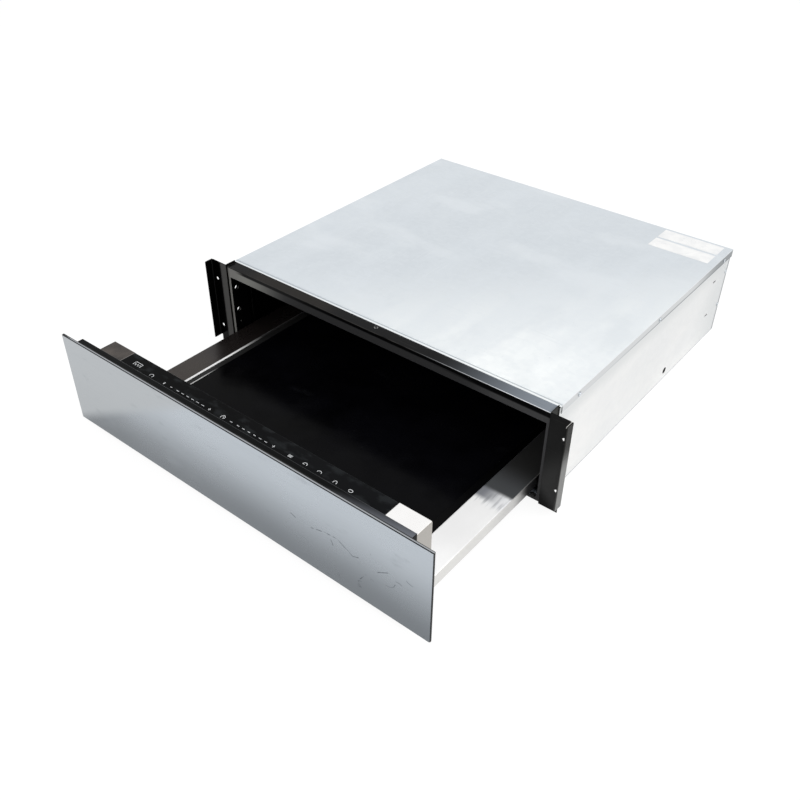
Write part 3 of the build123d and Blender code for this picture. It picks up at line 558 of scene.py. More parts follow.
# Brushed stainless steel, drawn along X: satin lines about 0.5 mm apart, with soft finger smears,
# a few dark pits and fine scratches on the right half. Painted light: it is painted paler towards
# the top and at its left, its large pale blotches are partly painted reflection, and its cut upper
# edge is painted dark as shade.
SCRATCHES = (scratch((103, 73), (112, 70)), scratch((133, 69), (153, 75)),
             scratch((152.5, 75.2), (172, 77)), scratch((171.5, 77.2), (186, 70)),
             scratch((185.5, 70.5), (194, 65)), scratch((193.5, 65), (203, 69)),
             scratch((203, 36), (209, 45)), scratch((227, 64), (243, 74)))
BRUSHED_FRONT = Finish(
    "brushed_stainless_front", ("73787D", "B8BFC6"), slope(Z, 12, 115), (0.24, 0.34),
    clouds(90, 90, 40), grain(90, 0.5, 0.5), 0.0012, metallic=1.0,
    marks=(Mark(incline((-291, 0, 0), (-40, 0, 22)), "B4B8BB", 0.9, 0.32),
           Mark(clouds(120, 60, 46, span=(0.55, 0.75)), "A8AFB6", 0.22, 0.40),
           Mark(grain(70, 1, 0.5, span=(0.35, 0.75)), "7D848A", 0.10, 0.30),
           Mark(clouds(34, 20, 14, span=(0.60, 0.74)), "80878D", 0.22, 0.42),
           Mark(grain(6, 6, 3, span=(0.79, 0.82)), "4E5459", 0.5, 0.4),
           *(Mark(line, "50565C", 0.8, 0.4, clouds(8, span=(0.30, 0.45)))
             for line in SCRATCHES),
           Mark(Pair(Layer(Pattern.HOOKS, (60, 60, 34), (0.012, 0.004)),
                     clouds(30, 30, 22, span=(0.60, 0.64))), "5A6066", 0.6, 0.4,
                Pair(slope(X, 40, 60), slope(Z, 96, -14))),
           Mark(UPWARD, "34373A")))

# The ledges are drawn along Y and nearly polished, so they go from white to black where the
# frame is mirrored in them. A ground zone in front of that scatters light. The greys, streaks and
# whites painted over that zone and the darkening towards the frame are painted shade and
# reflection, as are a grey line along the outer bend, a dark line along the inner edge, and the
# skirt's grey face, which darkens towards the rear and near the frame.
OUTER_BEND = slope(X, 260.6, 0.7)
BRUSHED_LEDGE = Finish(
    "brushed_stainless_ledge", ("FAFAFA", "FFFFFF"), clouds(40, 180, 40),
    (0.28, 0.33), clouds(30, 60, 30), grain(0.6, 90, 0.6), 0.0004, metallic=0.95,
    marks=(Mark(slope(Y, -74.5, 10), "82848A"),
           Mark(slope(X, 225, 32), "F6F7F9", 1.0, 0.3, slope(Y, -80, 9)),
           Mark(grain(4, 40, 4, span=(0.45, 0.70)), "808288", 0.5, 0.3, slope(Y, -84, 14)),
           Mark(slope(Y, -54.5, 8), "4A4C4E"),
           Mark(slope(Y, -36, 44), "2E2E2E"),
           Mark(Pair(OUTER_BEND, slope(Y, -64, -6)), "8E8C88", 0.85, 0.3, UPWARD),
           Mark(slope(X, 221.3, -1.2), "161616"),
           Mark(RIGHTWARD, "E0DFDC"),
           Mark(slope(Y, -110, 60), "CDCCCA", within=RIGHTWARD),
           Mark(slope(Y, -52, 38), "2A2A2B", within=RIGHTWARD)),
    ground=slope(Y, -190, 80))

# The left ledge is the same steel in painted shade, with a painted reflection of the dark frame:
# brown-black and blotched. A painted white highlight lies on its bend along the glass, greying
# towards the frame as painted shade.
LEFT_BEND = slope(X, -223.2, 0.9)
DARK_LEDGE = Finish(
    "brushed_stainless_shaded_ledge", ("342E2A", "2B2625"), slope(Y, -106, 44),
    (0.22, 0.34), clouds(30, 60, 30), grain(0.6, 90, 0.6), 0.0008, metallic=0.6,
    marks=(Mark(grain(0.8, 80, 0.8, span=(0.4, 0.8)), "3B3632", 0.2, 0.25),
           Mark(clouds(12, 30, 12, span=(0.55, 0.8)), "5F4C42", 0.25, 0.3, slope(Y, -100, -60)),
           Mark(LEFT_BEND, "FFFFFF"),
           Mark(slope(Y, -60, 76), "303030", within=LEFT_BEND)),
    ground=LEFT_BEND)


def post_steel(name: str, node: str, top: tuple[str, str], side: str) -> Finish:
    """Brushed stainless steel drawn along Z, with its side face in a painted shade of its own.

    Args:
        name: The finish's name.
        node: The piece, whose box gives the edges that get a painted highlight.
        top: Its two tones.
        side: The painted shade of the face that looks to the right.

    Returns:
        The finish.
    """
    return Finish(
        name, top, clouds(30, 30, 50), (0.18, 0.28),
        clouds(30), grain(0.5, 0.5, 60), 0.002, metallic=1.0,
        marks=(Mark(RIGHTWARD, side, 0.9, 0.3),
               Mark(grain(0.7, 0.7, 60, span=(0.4, 0.8)), "B9B6B1", 0.12, 0.30),
               Mark(BoxEdges(node, 0.9), "DAD7D2", 0.4, 0.30)))


# The left post is the same steel in painted shade, and the tray's back wall is given darker tones.
BRUSHED_POST = post_steel("brushed_stainless_post", "right_front_post", ("F8F7F6", "FEFEFD"), "A39F98")
DARK_POST = post_steel("brushed_stainless_shaded_post", "left_front_post", ("3B3735", "58514C"), "302D2A")
BACK_WALL_STEEL = post_steel("brushed_stainless_back_wall", "tray_back_wall", ("8F8E8C", "B5B4B1"),
                             "8F8E8C")

# Matt black laminate board behind the steel skin: its sawn edge is a little dusty. Its top is
# painted a lighter grey-black as painted light, with a painted highlight line along the joint.
EDGE_BOARD = Finish(
    "laminate_board", ("0A0A0B", "151516"), BLOTCHES, (0.45, 0.62), BLOTCHES, FINE_GRIT, 0.02, specular=0.3,
    marks=(Mark(DUST, "7C7973", 0.4, 0.8, BLOTCHES),
           Mark(UPWARD, "2A2B2D", 1.0, 0.5),
           Mark(Pair(band(Y, -256, 0.9), slope(X, -291, 14)), "A2A5A9", 0.9, 0.35, UPWARD)))

# Toughened black glass: a polished face over opaque black, with finger smudges that dull it and
# specks of dust. Its ground edges are paler, partly as a painted highlight.
TOUCH_GLASS = Finish(
    "black_float_glass_touch", ("060607", "101113"), slope(X, -60, 200), (0.05, 0.14),
    clouds(22, 16, 16, span=(0.45, 0.7)), clouds(30), 0.001, ior=1.52, specular=0.03,
    marks=(Mark(DUST, "8D8C8A", 0.45, 0.7, BLOTCHES),
           Mark(clouds(24, 12, 12, span=(0.50, 0.66)), "2C2F31", 0.5, 0.38),
           Mark(BoxEdges("control_glass", 0.8), "4A4B4E", 0.6, 0.3)))
BASE_GLASS = Finish(
    "black_float_glass_base", ("020203", "060609"), BLOTCHES, (0.16, 0.28),
    clouds(40, span=(0.4, 0.7)), clouds(30), 0.001, ior=1.52, specular=0.035,
    marks=(Mark(clouds(2, span=(0.74, 0.78)), "5F5E62", 0.55, 0.7, clouds(70, span=(0.45, 0.7))),
           Mark(clouds(60, 30, 30, span=(0.62, 0.8)), "131316", 0.5, 0.5)))

# Anodised black aluminium strip between the glass and the ledge, brushed along its length. The
# left one is given greyer tones and a painted highlight along its bare inner edge.
TRIM_STRIP = Finish(
    "black_anodised_strip", ("020203", "050506"), clouds(10, 90, 10), (0.28, 0.4),
    BLOTCHES, grain(0.5, 50, 0.5), 0.002, specular=0.05)
LEFT_TRIM_STRIP = Finish(
    "black_anodised_strip_left", ("141414", "222222"), clouds(10, 90, 10),
    (0.28, 0.4), BLOTCHES, grain(0.5, 50, 0.5), 0.002, specular=0.1,
    marks=(Mark(slope(X, -211.4, 0.6), "D8D8D7", 0.95, 0.35, slope(Y, -84, -36)),))

# Moulded rubber: dull black with a fine powdery bloom.
RUBBER = Finish(
    "moulded_rubber", ("101011", "1E1E1F"), clouds(4), (0.62, 0.8), BLOTCHES,
    FINE_GRIT, 0.02, specular=0.3, marks=(Mark(DUST, "5C5B59", 0.3, 0.9),))

# Roll-formed runner steel with bright zinc plate: fine lines along the travel and a greasy,
# yellow-grey film in patches.
RUNNER_ZINC = Finish(
    "zinc_plated_runner", ("B9BCBE", "DADCDD"), clouds(8, 60, 8), (0.22, 0.36),
    clouds(10, 40, 10), grain(0.5, 70, 0.5), 0.003, metallic=1.0,
    marks=(Mark(clouds(14, 50, 14, span=(0.55, 0.75)), "9C9787", 0.4, 0.5),
           Mark(grain(0.8, 40, 0.8, span=(0.62, 0.72)), "7F7F7A", 0.5, 0.4)))

# Moulded acetal, natural: off-white with a slight waxy variation and a film of grease.
CAGE_PLASTIC = Finish(
    "moulded_acetal_natural", ("D6D5CF", "ECEBE6"), clouds(20), (0.38, 0.5),
    BLOTCHES, FINE_GRIT, 0.006, marks=(Mark(clouds(5, 16, 5, span=(0.6, 0.75)), "B9B49F",
                                            0.5, 0.25),))

# Moulded nylon, white and black: a fine eroded grain, with the flow of the moulding in its tone.
WHITE_PLASTIC = Finish(
    "moulded_nylon_white", ("D2D2CC", "E6E6E1"), clouds(12), (0.42, 0.56),
    BLOTCHES, FINE_GRIT, 0.01, marks=(Mark(DUST, "8F8D86", 0.35, 0.8),))
BLACK_PLASTIC = Finish(
    "moulded_nylon_black", ("111112", "1D1D1F"), clouds(10), (0.40, 0.56),
    BLOTCHES, FINE_GRIT, 0.015, specular=0.35, marks=(Mark(DUST, "73716C", 0.35, 0.8),))

# Ground and polished bearing steel.
BALL_STEEL = Finish(
    "ground_bearing_steel", ("B7B9BC", "D2D4D6"), clouds(2), (0.06, 0.12),
    BLOTCHES, FINE_GRIT, 0.0005, metallic=1.0,
    marks=(Mark(clouds(1, span=(0.6, 0.75)), "8E8B7F", 0.4, 0.3),))

# Glass-fibre board under green lacquer: the weave shows as a faint grid of tone.
BOARD_LACQUER = Finish(
    "lacquered_glass_fibre_board", ("0E3B1E", "1B5A30"), clouds(3), (0.28, 0.4),
    BLOTCHES, grain(0.8, 6, 0.8), 0.01, coat=0.4,
    marks=(Mark(crystals(2.4, span=(0.9, 0.95)), "C9B26A", 0.7, 0.3),))

# Needled mineral fibre: pale felt with long darker fibres.
MINERAL_FELT = Finish(
    "needled_mineral_felt", ("AFA88F", "D8D2BE"), grain(1.5, 12, 1.5), (0.85, 0.95),
    BLOTCHES, grain(9, 0.8, 0.8), 0.3,
    marks=(Mark(grain(14, 0.7, 0.7, span=(0.62, 0.7)), "8A8268", 0.5, 0.95),))

# Moulded silicone heater sheet: brick red, matt, with the pressed print of its cloth.
SILICONE = Finish(
    "moulded_silicone_sheet", ("7A2C1C", "94402C"), BLOTCHES, (0.55, 0.68), BLOTCHES,
    grain(1, 1, 6), 0.04, marks=(Mark(DUST, "B39A8E", 0.3, 0.9),))

# Drawn aluminium cans of the cut-out and the sensor: drawing lines dull the bright metal.
DRAWN_CAN = Finish(
    "drawn_aluminium_can", ("B4B6B8", "D6D8DA"), clouds(4), (0.24, 0.38),
    BLOTCHES, grain(0.5, 0.5, 4), 0.004, metallic=1.0,
    marks=(Mark(grain(0.6, 0.6, 6, span=(0.62, 0.72)), "87898B", 0.5, 0.4),))

# Zinc-plated steel screws: bright and bluish, with a darker film in patches.
SCREW_ZINC = Finish(
    "zinc_plated_screw", ("A9AEB3", "DDE2E6"), clouds(1.5), (0.16, 0.3),
    clouds(1), clouds(0.5), 0.004, metallic=1.0,
    marks=(Mark(clouds(0.9, span=(0.6, 0.75)), "6B6E70", 0.5, 0.4),))

# The ledge rivets are stainless, pressed flush and brushed over with the skirt; their greyed
# tones match the skirt's painted shade.
RIVET_STEEL = Finish(
    "pressed_stainless_rivet", ("D8D7D4", "DFDEDB"), clouds(1.5), (0.24, 0.34),
    clouds(1), clouds(0.6), 0.002, metallic=1.0,
    marks=(Mark(clouds(0.9, span=(0.6, 0.75)), "C9C8C4", 0.4, 0.4),))

# The frame's top screw is blackened steel, with a painted highlight along the rim of its head.
SCREW_BLACK = Finish(
    "blackened_steel_screw", ("131313", "2A2A2B"), clouds(1.5), (0.2, 0.34),
    clouds(1), clouds(0.5), 0.004, metallic=0.8,
    marks=(Mark(BoxEdges("frame_screw", 1), "E8E8E6", 0.9, 0.25),))

# Blank polyester label film: white and slightly glossy, a little duller where it isn't pressed.
LABEL_FILM = Finish(
    "polyester_label_film", ("EEEFF0", "FBFBFA"), clouds(16), (0.22, 0.36), BLOTCHES, clouds(6), 0.01,
    marks=(Mark(BoxEdges("blank_labels", 0.6), "D5D7D8", 0.5, 0.5),))

# White ceramic ink printed under the glass's own gloss.
PRINTED_INK = Finish(
    "white_ceramic_ink", ("D9DCDF", "F6F7F8"), clouds(1.2), (0.3, 0.45), BLOTCHES, FINE_GRIT, 0.004)


# ---------------- surfaces
def put_mesh(name: str, corners: np.ndarray, faces: np.ndarray, smooth: bool) -> bpy.types.Object:
    """Makes an object at the origin from whole arrays.

    Args:
        name: The piece's name.
        corners: One row of X, Y and Z for each corner, in metres.
        faces: One row of four corner numbers for each face, counter-clockwise from outside.
        smooth: Whether the faces are shaded as one curved surface.

    Returns:
        The object, linked into the scene.
    """
    mesh = bpy.data.meshes.new(name)
    mesh.from_pydata(corners.tolist(), [], faces.tolist())
    mesh.validate()
    mesh.polygons.foreach_set("use_smooth", np.full(len(mesh.polygons), smooth))
    mesh.update()
    piece = bpy.data.objects.new(name, mesh)
    bpy.context.scene.collection.objects.link(piece)
    return piece


def grid_faces(rows: int, columns: int) -> np.ndarray:
    """The four-sided faces of a grid whose columns close into a ring.

    Args:
        rows: How many rings of corners.
        columns: How many corners in each ring.

    Returns:
        One row of four corner numbers for each face.
    """
    row, column = np.meshgrid(np.arange(rows - 1), np.arange(columns), indexing="ij")
    after = (column + 1) % columns
    quads = (row * columns + column, row * columns + after,
             (row + 1) * columns + after, (row + 1) * columns + column)
    return np.stack(quads, axis=-1).reshape(-1, 4)


@dataclass(frozen=True)
class FastenerHead:
    """A round screw head that stands on a surface, with a cross recess.

    dome is how far the top drops at its rim, as a share of the height. pole, arm, reach and fade
    are shares of the radius: the small ring at each pole, the half width of the cross's arms,
    their length and how far their ends slope. turn_each is the turn from one head's cross to the
    next, in radians.
    """

    radius_mm: float
    height_mm: float
    recess_mm: float
    sides: int = 40
    rings: int = 16
    dome: float = 0.45
    pole: float = 0.02
    arm: float = 0.16
    reach: float = 0.66
    fade: float = 0.16
    turn_each: float = 0.7

    def shell(self) -> tuple[np.ndarray, np.ndarray]:
        """The closed skin of the head, standing on Z = 0 with its axis along Z.

        Over the radius r the top is height * (1 - dome (r / radius)^4), a low dome. A cross is
        pressed into it: the depth falls off as a bell curve across each arm, and evenly towards
        the arm's end. The side drops to the seat, and the underside runs in to the axis.

        Returns:
            Corners in millimetres, and faces.
        """
        share = np.linspace(self.pole, 1.0, self.rings)[:, None]
        turn = np.linspace(0.0, 2.0 * math.pi, self.sides, endpoint=False)[None, :]
        across, along = share * np.cos(turn), share * np.sin(turn)
        from_arm = np.minimum(np.abs(across), np.abs(along)) / self.arm
        depth = self.recess_mm * np.clip((self.reach - share) / self.fade, 0.0, 1.0)
        top = self.height_mm * (1.0 - self.dome * share ** 4) - depth * np.exp(-from_arm ** 4)
        seat = np.zeros_like(turn)
        rows_x = [across, across[-1:], self.pole * np.cos(turn)]
        rows_y = [along, along[-1:], self.pole * np.sin(turn)]
        rows_z = [top, seat, seat]
        x, y, z = (np.concatenate(rows, axis=0) for rows in (rows_x, rows_y, rows_z))
        corners = np.stack((x * self.radius_mm, y * self.radius_mm, z), axis=-1).reshape(-1, 3)
        return corners, grid_faces(self.rings + 2, self.sides)[:, ::-1]

    def set_at(self, name: str, seats: list[tuple[Size3, Size3]]) -> bpy.types.Object:
        """Stands a copy of the head on each seat, all in one piece.

        Args:
            name: The piece's name.
            seats: For each head, its place in metres and the direction that it faces.

        Returns:
            The object.
        """
        corners, faces = self.shell()
        all_corners, all_faces = [], []
        for number, (place, facing) in enumerate(seats):
            axis = np.array(facing, float)
            upright = abs(axis[2]) > 0.5
            side = np.cross(axis, (0.0, 1.0, 0.0) if upright else (0.0, 0.0, 1.0))
            side /= np.linalg.norm(side)
            turn = self.turn_each * number
            spun = math.cos(turn) * side + math.sin(turn) * np.cross(axis, side)
            basis = np.stack((spun, np.cross(axis, spun), axis))
            all_corners.append(corners @ basis * MM + np.array(place))
            all_faces.append(faces + number * len(corners))
        closed = [self.close_ends(part) for part in all_faces]
        return put_mesh(name, np.concatenate(all_corners), np.concatenate(closed), True)

    def close_ends(self, faces: np.ndarray) -> np.ndarray:
        """Adds four-sided faces that fill the small ring at each pole.

        Args:
            faces: One head's faces.

        Returns:
            The faces with both poles filled.
        """
        first = faces.min()
        last = first + (self.rings + 1) * self.sides
        step = np.arange(1, self.sides - 2, 2)
        top = np.stack((first + 0 * step, first + step, first + step + 1, first + step + 2), axis=-1)
        low = np.stack((last + 0 * step, last + step + 2, last + step + 1, last + step), axis=-1)
        return np.concatenate((faces, top, low))


def stroke(path: np.ndarray, width: float, low: float, high: float) -> tuple[np.ndarray, np.ndarray]:
    """A flat ribbon of ink along a path.

    Each corner of the path is moved half the width to both sides along its normal, which is
    the direction of travel turned by a quarter. The four edges, two above and two below,
    make a closed strip.

    Args:
        path: One row of X and Y for each point, in metres.
        width: The width of the line.
        low: The height of its underside.
        high: The height of its face.

    Returns:
        Corners and faces.
    """
    ahead = np.roll(path, -1, axis=0) - path
    behind = path - np.roll(path, 1, axis=0)
    ahead[-1], behind[0] = behind[-1], ahead[0]
    travel = sum(step / np.linalg.norm(step, axis=1)[:, None] for step in (ahead, behind))
    travel /= np.linalg.norm(travel, axis=1)[:, None]
    normal = np.stack((-travel[:, 1], travel[:, 0]), axis=-1) * width / 2
    left, right = path + normal, path - normal
    count = len(path)
    flat = [left, right, right, left]
    heights = [high, high, low, low]
    ring = np.stack([np.column_stack((edge, np.full(count, z))) for edge, z in zip(flat, heights)], axis=1)
    corners = ring.reshape(-1, 3)
    last = (count - 1) * 4
    ends = np.array([[3, 2, 1, 0], [last, last + 1, last + 2, last + 3]])
    return corners, np.concatenate((grid_faces(count, 4), ends))


def arc(radius: float, start: float, end: float, points: int = 24) -> np.ndarray:
    """Points on a circle about the origin, at radius times cosine and sine of the angle.

    Args:
        radius: The circle's radius.
        start: The first angle, in degrees.
        end: The last angle, in degrees.
        points: How many points.

    Returns:
        One row of X and Y for each point.
    """
    angle = np.radians(np.linspace(start, end, points))
    return radius * np.stack((np.cos(angle), np.sin(angle)), axis=-1)


class Symbol(Enum):
    """The plain marks on the touch glass."""

    PANEL = "wide arch with a zigzag in it"
    RING = "open ring"
    BAR = "thick upright bar"
    DASH = "short line"
    PLUS = "plus"
    CLOCK = "open ring with two hands"
    BLOCK = "three close lines"
    CUP = "arch with a filled end"
    ARCH = "arch"
    HOOD = "arch on two legs"
    LOOP = "oval with a gap"


def symbol_paths(symbol: Symbol, size: float) -> list[np.ndarray]:
    """The lines that draw one symbol about the origin.

    Args:
        symbol: Which symbol.
        size: Its width.

    Returns:
        The points of each line.
    """
    half = size / 2
    bar = np.array([(-1.0, 0.0), (1.0, 0.0)]) * half
    upright = bar[:, ::-1]
    frame_line = np.array([(-1, -0.5), (-1, 0.5), (1, 0.5), (1, -0.5)]) * half
    zigzag = np.array([(-0.7, 0.1), (-0.35, -0.5), (0.0, 0.15), (0.35, -0.5), (0.7, 0.1)]) * half
    legs = np.array([(-0.8, -0.7), (-0.8, 0.1), (-0.4, 0.7), (0.4, 0.7), (0.8, 0.1), (0.8, -0.7)]) * half
    drawings = {
        Symbol.PANEL: [frame_line, zigzag],
        Symbol.RING: [arc(half, -40, 210)],
        Symbol.BAR: [upright + (shift * half, 0.0) for shift in (-0.2, 0.2)],
        Symbol.DASH: [bar],
        Symbol.PLUS: [bar, upright],
        Symbol.CLOCK: [arc(half, -60, 230), np.array([(0, 0.6), (0, 0), (0.45, 0)]) * half],
        Symbol.BLOCK: [bar + (0.0, y * half) for y in (-0.5, 0.0, 0.5)],
        Symbol.CUP: [arc(half, -10, 190), 0.4 * bar - (0.6 * half, 0.0)],
        Symbol.ARCH: [arc(half, 5, 175)],
        Symbol.HOOD: [legs],
        Symbol.LOOP: [arc(half, -130, 200) * (1.0, 0.7)],
    }
    return drawings[symbol]


def dress(names: list[str], finish: Finish) -> None:
    """Gives CAD nodes a finish.

    Args:
        names: The nodes.
        finish: What they are made of.
    """
    for name in names:
        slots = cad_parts[name].data.materials
        slots.clear()
        slots.append(finish.material())
        log.info("%s: %s", name, finish.name)


def add_piece(piece: bpy.types.Object, finish: Finish, body: str) -> None:
    """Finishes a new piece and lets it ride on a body.

    Args:
        piece: The new piece.
        finish: What it is made of.
        body: The CAD body that it moves with.
    """
    piece.data.materials.append(finish.material())
    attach(piece, body)
    log.info("%s: %s, on %s", piece.name, finish.name, body)


def both(name: str) -> list[str]:
    """The left and the right node of a pair."""
    return [f"left_{name}", f"right_{name}"]


# ---------------- sub-assemblies
@dataclass
class Casing:
    """The galvanised housing with its labels and side screws."""

    screw: FastenerHead = FastenerHead(radius_mm=3.2, height_mm=1.3, recess_mm=0.8)
    side_screw_y_mm: tuple[float, ...] = (60.0, 274.5, 489.0)
    rear_screw_z_mm: tuple[float, ...] = (47.0, 105.0)

    def build(self) -> None:
        """Dresses the sheets and sets the screws."""
        dress(["top_cover"], COVER_ZINC)
        dress(["left_side_wall"], LEFT_WALL_ZINC)
        dress(["right_side_wall"], RIGHT_WALL_ZINC)
        dress(["rear_panel"], REAR_ZINC)
        dress(["bottom_plate", *both("runner_bracket")], INNER_ZINC)
        dress(["blank_labels"], LABEL_FILM)
        dress(["bracket_screws"], SCREW_ZINC)
        self.cover_screws()
        self.rear_screws()

    def on_both_sides(self, name: str, wall_m: float, places: list[Place]) -> bpy.types.Object:
        """Screw heads on both sides of the casing, facing outwards.

        Args:
            name: The piece's name.
            wall_m: The X of the right wall's face.
            places: The Y and Z of each screw.

        Returns:
            The piece.
        """
        return self.screw.set_at(name, [((sign * wall_m, *place), (sign, 0.0, 0.0))
                                        for sign in (-1.0, 1.0) for place in places])

    def cover_screws(self) -> None:
        """The six screws through the cover's rim."""
        low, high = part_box("cover_screws")
        places = [(y * MM, (low.z + high.z) / 2) for y in self.side_screw_y_mm]
        piece = self.on_both_sides("rim_screws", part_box("top_cover")[1].x, places)
        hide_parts("cover_screws")
        add_piece(piece, SCREW_ZINC, "housing")

    def rear_screws(self) -> None:
        """The four screws that hold the side walls to the rear panel."""
        low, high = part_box("rear_screws")
        places = [((low.y + high.y) / 2, z * MM) for z in self.rear_screw_z_mm]
        piece = self.on_both_sides("rear_edge_screws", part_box("right_side_wall")[1].x, places)
        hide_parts("rear_screws")
        add_piece(piece, SCREW_ZINC, "housing")


@dataclass
class FrontFrame:
    """The black frame, its mounting flanges, its buffers and its one screw."""

    screw: FastenerHead = FastenerHead(radius_mm=2.9, height_mm=1.0, recess_mm=0.6)

    def build(self) -> None:
        """Dresses the frame and sets its screw."""
        dress(["front_frame"], FRAME_ENAMEL)
        dress(["left_mounting_flange"], LEFT_FLANGE_ENAMEL)
        dress(["right_mounting_flange"], RIGHT_FLANGE_ENAMEL)
        dress(["frame_buffers"], RUBBER)
        low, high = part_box("frame_screw")
        seat = (0.0, (low.y + high.y) / 2, high.z - self.screw.height_mm * MM)
        piece = self.screw.set_at("frame_top_screw", [(seat, (0.0, 0.0, 1.0))])
        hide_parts("frame_screw")
        add_piece(piece, SCREW_BLACK, "housing")


@dataclass
class DrawerFront:
    """The brushed front, its black board, the folded carrier and its filling."""

    def build(self) -> None:
        """Dresses the front's layers."""
        dress(["front_panel"], BRUSHED_FRONT)
        dress(["panel_backing"], EDGE_BOARD)
        dress(["front_carrier"], CARRIER_ENAMEL)
        dress(["front_insulation"], MINERAL_FELT)


@dataclass
class ControlBox:
    """The box behind the front: two steel posts and a touch glass with its printed marks."""

    line_mm: float = 0.68
    panel_line_mm: float = 0.92
    ink_mm: float = 0.02
    row_y_mm: float = -227.5
    marks: tuple[tuple[Symbol, float, float], ...] = (
        (Symbol.RING, -161.0, 5.6), (Symbol.BAR, -136.3, 3.8), (Symbol.DASH, -123.2, 3.8),
        (Symbol.PLUS, -54.5, 3.8), (Symbol.CLOCK, -31.2, 5.8), (Symbol.DASH, -17.3, 3.8),
        (Symbol.PLUS, 51.7, 3.8), (Symbol.BLOCK, 77.6, 5.6), (Symbol.CUP, 99.5, 5.6),
        (Symbol.ARCH, 120.4, 5.8), (Symbol.HOOD, 144.3, 5.4), (Symbol.LOOP, 166.0, 5.4))
    panel_mark: tuple[float, float, float] = (-192.9, -223.0, 12.6)
    dash_rows: tuple[tuple[float, float, float], ...] = ((-111.5, -66.5, 4.6), (-5.8, 39.3, 4.0))
    dashes_in_row: int = 6

    def build(self) -> None:
        """Dresses the box and prints its marks."""
        dress(["right_front_post"], BRUSHED_POST)
        dress(["left_front_post"], DARK_POST)
        dress(["control_housing"], HOUSING_ENAMEL)
        dress(["control_glass"], TOUCH_GLASS)
        dress(["touch_board", "power_board"], BOARD_LACQUER)
        dress(["board_standoffs"], WHITE_PLASTIC)
        self.printed_marks()

    def places(self) -> list[tuple[Symbol, float, float, float]]:
        """Lists the marks, with the rows of dashes spelt out.

        Returns:
            Every mark with its X, its Y and its size, in millimetres.
        """
        rows = [(symbol, x, self.row_y_mm, size) for symbol, x, size in self.marks]
        rows.append((Symbol.PANEL, *self.panel_mark))
        for first, last, size in self.dash_rows:
            rows += [(Symbol.DASH, float(x), self.row_y_mm, size)
                     for x in np.linspace(first, last, self.dashes_in_row)]
        return rows

    def printed_marks(self) -> None:
        """One piece with the ink of all the marks, just over the glass."""
        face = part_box("control_glass")[1].z
        corners, faces, start = [], [], 0
        for symbol, x, y, size in self.places():
            width = self.panel_line_mm if symbol is Symbol.PANEL else self.line_mm
            for path in symbol_paths(symbol, size):
                line, quads = stroke((path + (x, y)) * MM, width * MM, face, face + self.ink_mm * MM)
                corners.append(line)
                faces.append(quads + start)
                start += len(line)
        piece = put_mesh("glass_marks", np.concatenate(corners), np.concatenate(faces), False)
        add_piece(piece, PRINTED_INK, "drawer")


@dataclass
class Tray:
    """The heated tray with its ledges, its glass base and what lies under the glass."""

    def build(self) -> None:
        """Dresses the tray."""
        dress(["right_ledge"], BRUSHED_LEDGE)
        dress(["left_ledge"], DARK_LEDGE)
        dress(["tray_back_wall"], BACK_WALL_STEEL)
        dress(["tray_pan"], INNER_ZINC)
        dress(["glass_base"], BASE_GLASS)
        dress(["left_glass_trim"], LEFT_TRIM_STRIP)
        dress(["right_glass_trim"], TRIM_STRIP)
        dress(["heating_mat"], SILICONE)
        dress(["insulation_pad"], MINERAL_FELT)
        dress(["thermal_cutout", "temperature_sensor"], DRAWN_CAN)
        dress(["drawer_connector"], WHITE_PLASTIC)
        dress(["ledge_rivets"], RIVET_STEEL)


@dataclass
class Runners:
    """The telescopic runners with their ball cages."""

    def build(self) -> None:
        """Dresses the members, the cages and the balls."""
        dress([node for part in ("fixed", "middle", "drawer") for node in both(f"runner_{part}_member")],
              RUNNER_ZINC)
        dress([*both("outer_ball_cage"), *both("inner_ball_cage")], CAGE_PLASTIC)
        dress([*both("outer_balls"), *both("inner_balls")], BALL_STEEL)


@dataclass
class RearFittings:
    """The latch, the terminals and the cable gland."""

    def build(self) -> None:
        """Dresses the fittings at the rear panel."""
        dress(["latch_body", "latch_plunger", "cable_gland", "gland_nut"], BLACK_PLASTIC)
        dress(["terminal_block"], WHITE_PLASTIC)


# ---------------- studio
def stand(item: bpy.types.Object, *columns: Size3 | np.ndarray) -> None:
    """Links a camera or lamp into the scene and sets where it stands.

    Args:
        item: The object.
        columns: The directions of its X, Y and Z, and then its place.
    """
    pose = np.eye(4)
    pose[:3] = np.column_stack(columns)
    item.matrix_world = Matrix(pose.tolist())
    bpy.context.scene.collection.objects.link(item)


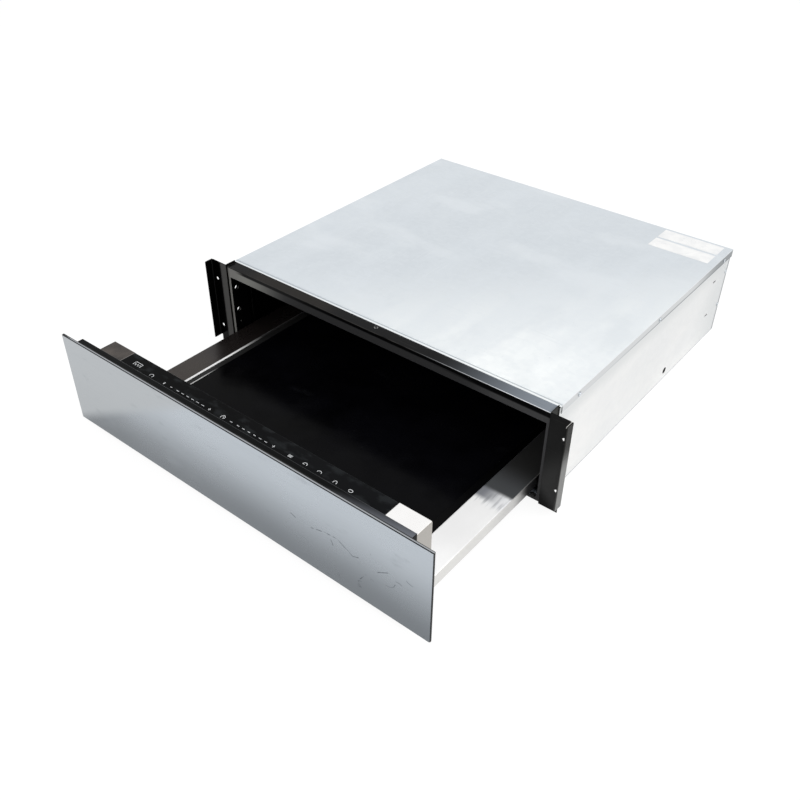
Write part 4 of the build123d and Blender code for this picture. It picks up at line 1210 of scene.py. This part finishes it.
@dataclass
class Studio:
    """The pale floor, the soft lamps and the camera at the photograph's angle."""

    eye_m: Size3 = (0.63125, -0.73156, 0.75912)
    azimuth: float = 38.46
    elevation: float = 37.152
    roll: float = 0.654
    lens_mm: float = 39.89
    sensor_mm: float = 36.0
    view_m: Place = (0.02, 40.0)
    floor_half_m: float = 9.0
    floor_z_m: float = -0.0005
    floor_glow: float = 1.12
    floor_glow_share: float = 0.8
    ambient: float = 0.62
    lamps: tuple[tuple[str, Size3, Size3, float, float], ...] = (
        ("key_softbox", (1.7, 0.1, 1.9), (0.0, 0.1, 0.05), 1.6, 26.0),
        ("front_softbox", (-0.6, -2.2, 1.5), (0.0, -0.2, 0.05), 1.8, 16.0))

    def build(self) -> None:
        """Makes the whole studio."""
        self.camera()
        self.floor()
        self.world()
        for name, place, target, size, power in self.lamps:
            self.lamp(name, place, target, size, power)
        bpy.context.scene.view_settings.view_transform = "Standard"

    def camera(self) -> None:
        """The camera: it looks down and to the left across the front, with a slight roll."""
        turn, rise, roll = (math.radians(a) for a in (self.azimuth, self.elevation, self.roll))
        right = np.array((math.cos(turn), math.sin(turn), 0.0))
        level = math.cos(rise)
        back = np.array((math.sin(turn) * level, -math.cos(turn) * level, math.sin(rise)))
        up = np.cross(back, right)
        across = math.cos(roll) * right + math.sin(roll) * up
        upright = math.cos(roll) * up - math.sin(roll) * right
        lens = bpy.data.cameras.new("camera")
        lens.lens = self.lens_mm
        lens.sensor_width = self.sensor_mm
        lens.clip_start, lens.clip_end = self.view_m
        camera = bpy.data.objects.new("camera", lens)
        stand(camera, across, upright, back, self.eye_m)
        bpy.context.scene.camera = camera

    def seen(self, tree: Tree) -> Socket:
        """Adds nodes that give 1 to the camera and in reflections, and 0 to the light itself.

        Args:
            tree: The floor's or the world's node tree.

        Returns:
            The socket with the value.
        """
        rays = add_node(tree, "LightPath")
        seen = rays["Is Camera Ray"]
        for kind in ("Is Glossy Ray", "Is Transmission Ray"):
            seen = add_node(tree, "Math", None, {0: seen, 1: rays[kind]}, operation="MAXIMUM")[0]
        return seen

    def floor(self) -> None:
        """A wide white floor that keeps the object's shadow, and shows white in metal and glass."""
        half, z = self.floor_half_m, self.floor_z_m
        corners = np.array([(-half, -half, z), (half, -half, z), (half, half, z), (-half, half, z)])
        ground = put_mesh("floor", corners, np.array([[0, 1, 2, 3]]), False)
        made = bpy.data.materials.new("painted_floor")
        tree = empty_tree(made)
        seen = self.seen(tree)
        paint = add_node(tree, "BsdfDiffuse", {"Color": hex_to_linear("E6E6E6")})[0]
        glow = add_node(tree, "Emission",
                        {"Color": hex_to_linear("FFFFFF"), "Strength": self.floor_glow})[0]
        share = add_node(tree, "Math", {1: self.floor_glow_share}, {0: seen}, operation="MULTIPLY")[0]
        both_ways = add_node(tree, "MixShader", None, {0: share, 1: paint, 2: glow})[0]
        add_node(tree, "OutputMaterial", None, {"Surface": both_ways})
        ground.data.materials.append(made)

    def world(self) -> None:
        """White to the camera and in reflections, and a plain level of light from all round."""
        sky = bpy.data.worlds.new("studio")
        tree = empty_tree(sky)
        seen = self.seen(tree)
        level = add_node(tree, "MapRange", {3: self.ambient, 4: 1.0}, {0: seen})[0]
        white = add_node(tree, "Background", {"Color": hex_to_linear("FFFFFF")}, {"Strength": level})[0]
        add_node(tree, "OutputWorld", None, {"Surface": white})
        bpy.context.scene.world = sky

    def lamp(self, name: str, place: Size3, target: Size3, size: float, power: float) -> None:
        """One square softbox.

        Args:
            name: Its name.
            place: Where it stands, in metres.
            target: The point that it faces.
            size: The length of its side.
            power: Its power in watts.
        """
        light = bpy.data.lights.new(name, "AREA")
        light.size = size
        light.energy = power
        back = np.array(place) - np.array(target)
        back /= np.linalg.norm(back)
        right = np.cross((0.0, 0.0, 1.0), back)
        right /= np.linalg.norm(right)
        stand(bpy.data.objects.new(name, light), right, np.cross(back, right), back, place)


def main() -> None:
    logging.basicConfig(level=logging.INFO, format="%(message)s")
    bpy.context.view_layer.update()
    for assembly in (Casing(), FrontFrame(), DrawerFront(), ControlBox(), Tray(), Runners(),
                     RearFittings(), Studio()):
        assembly.build()
        log.info("%s done", type(assembly).__name__)


if __name__ == "__main__":
    main()
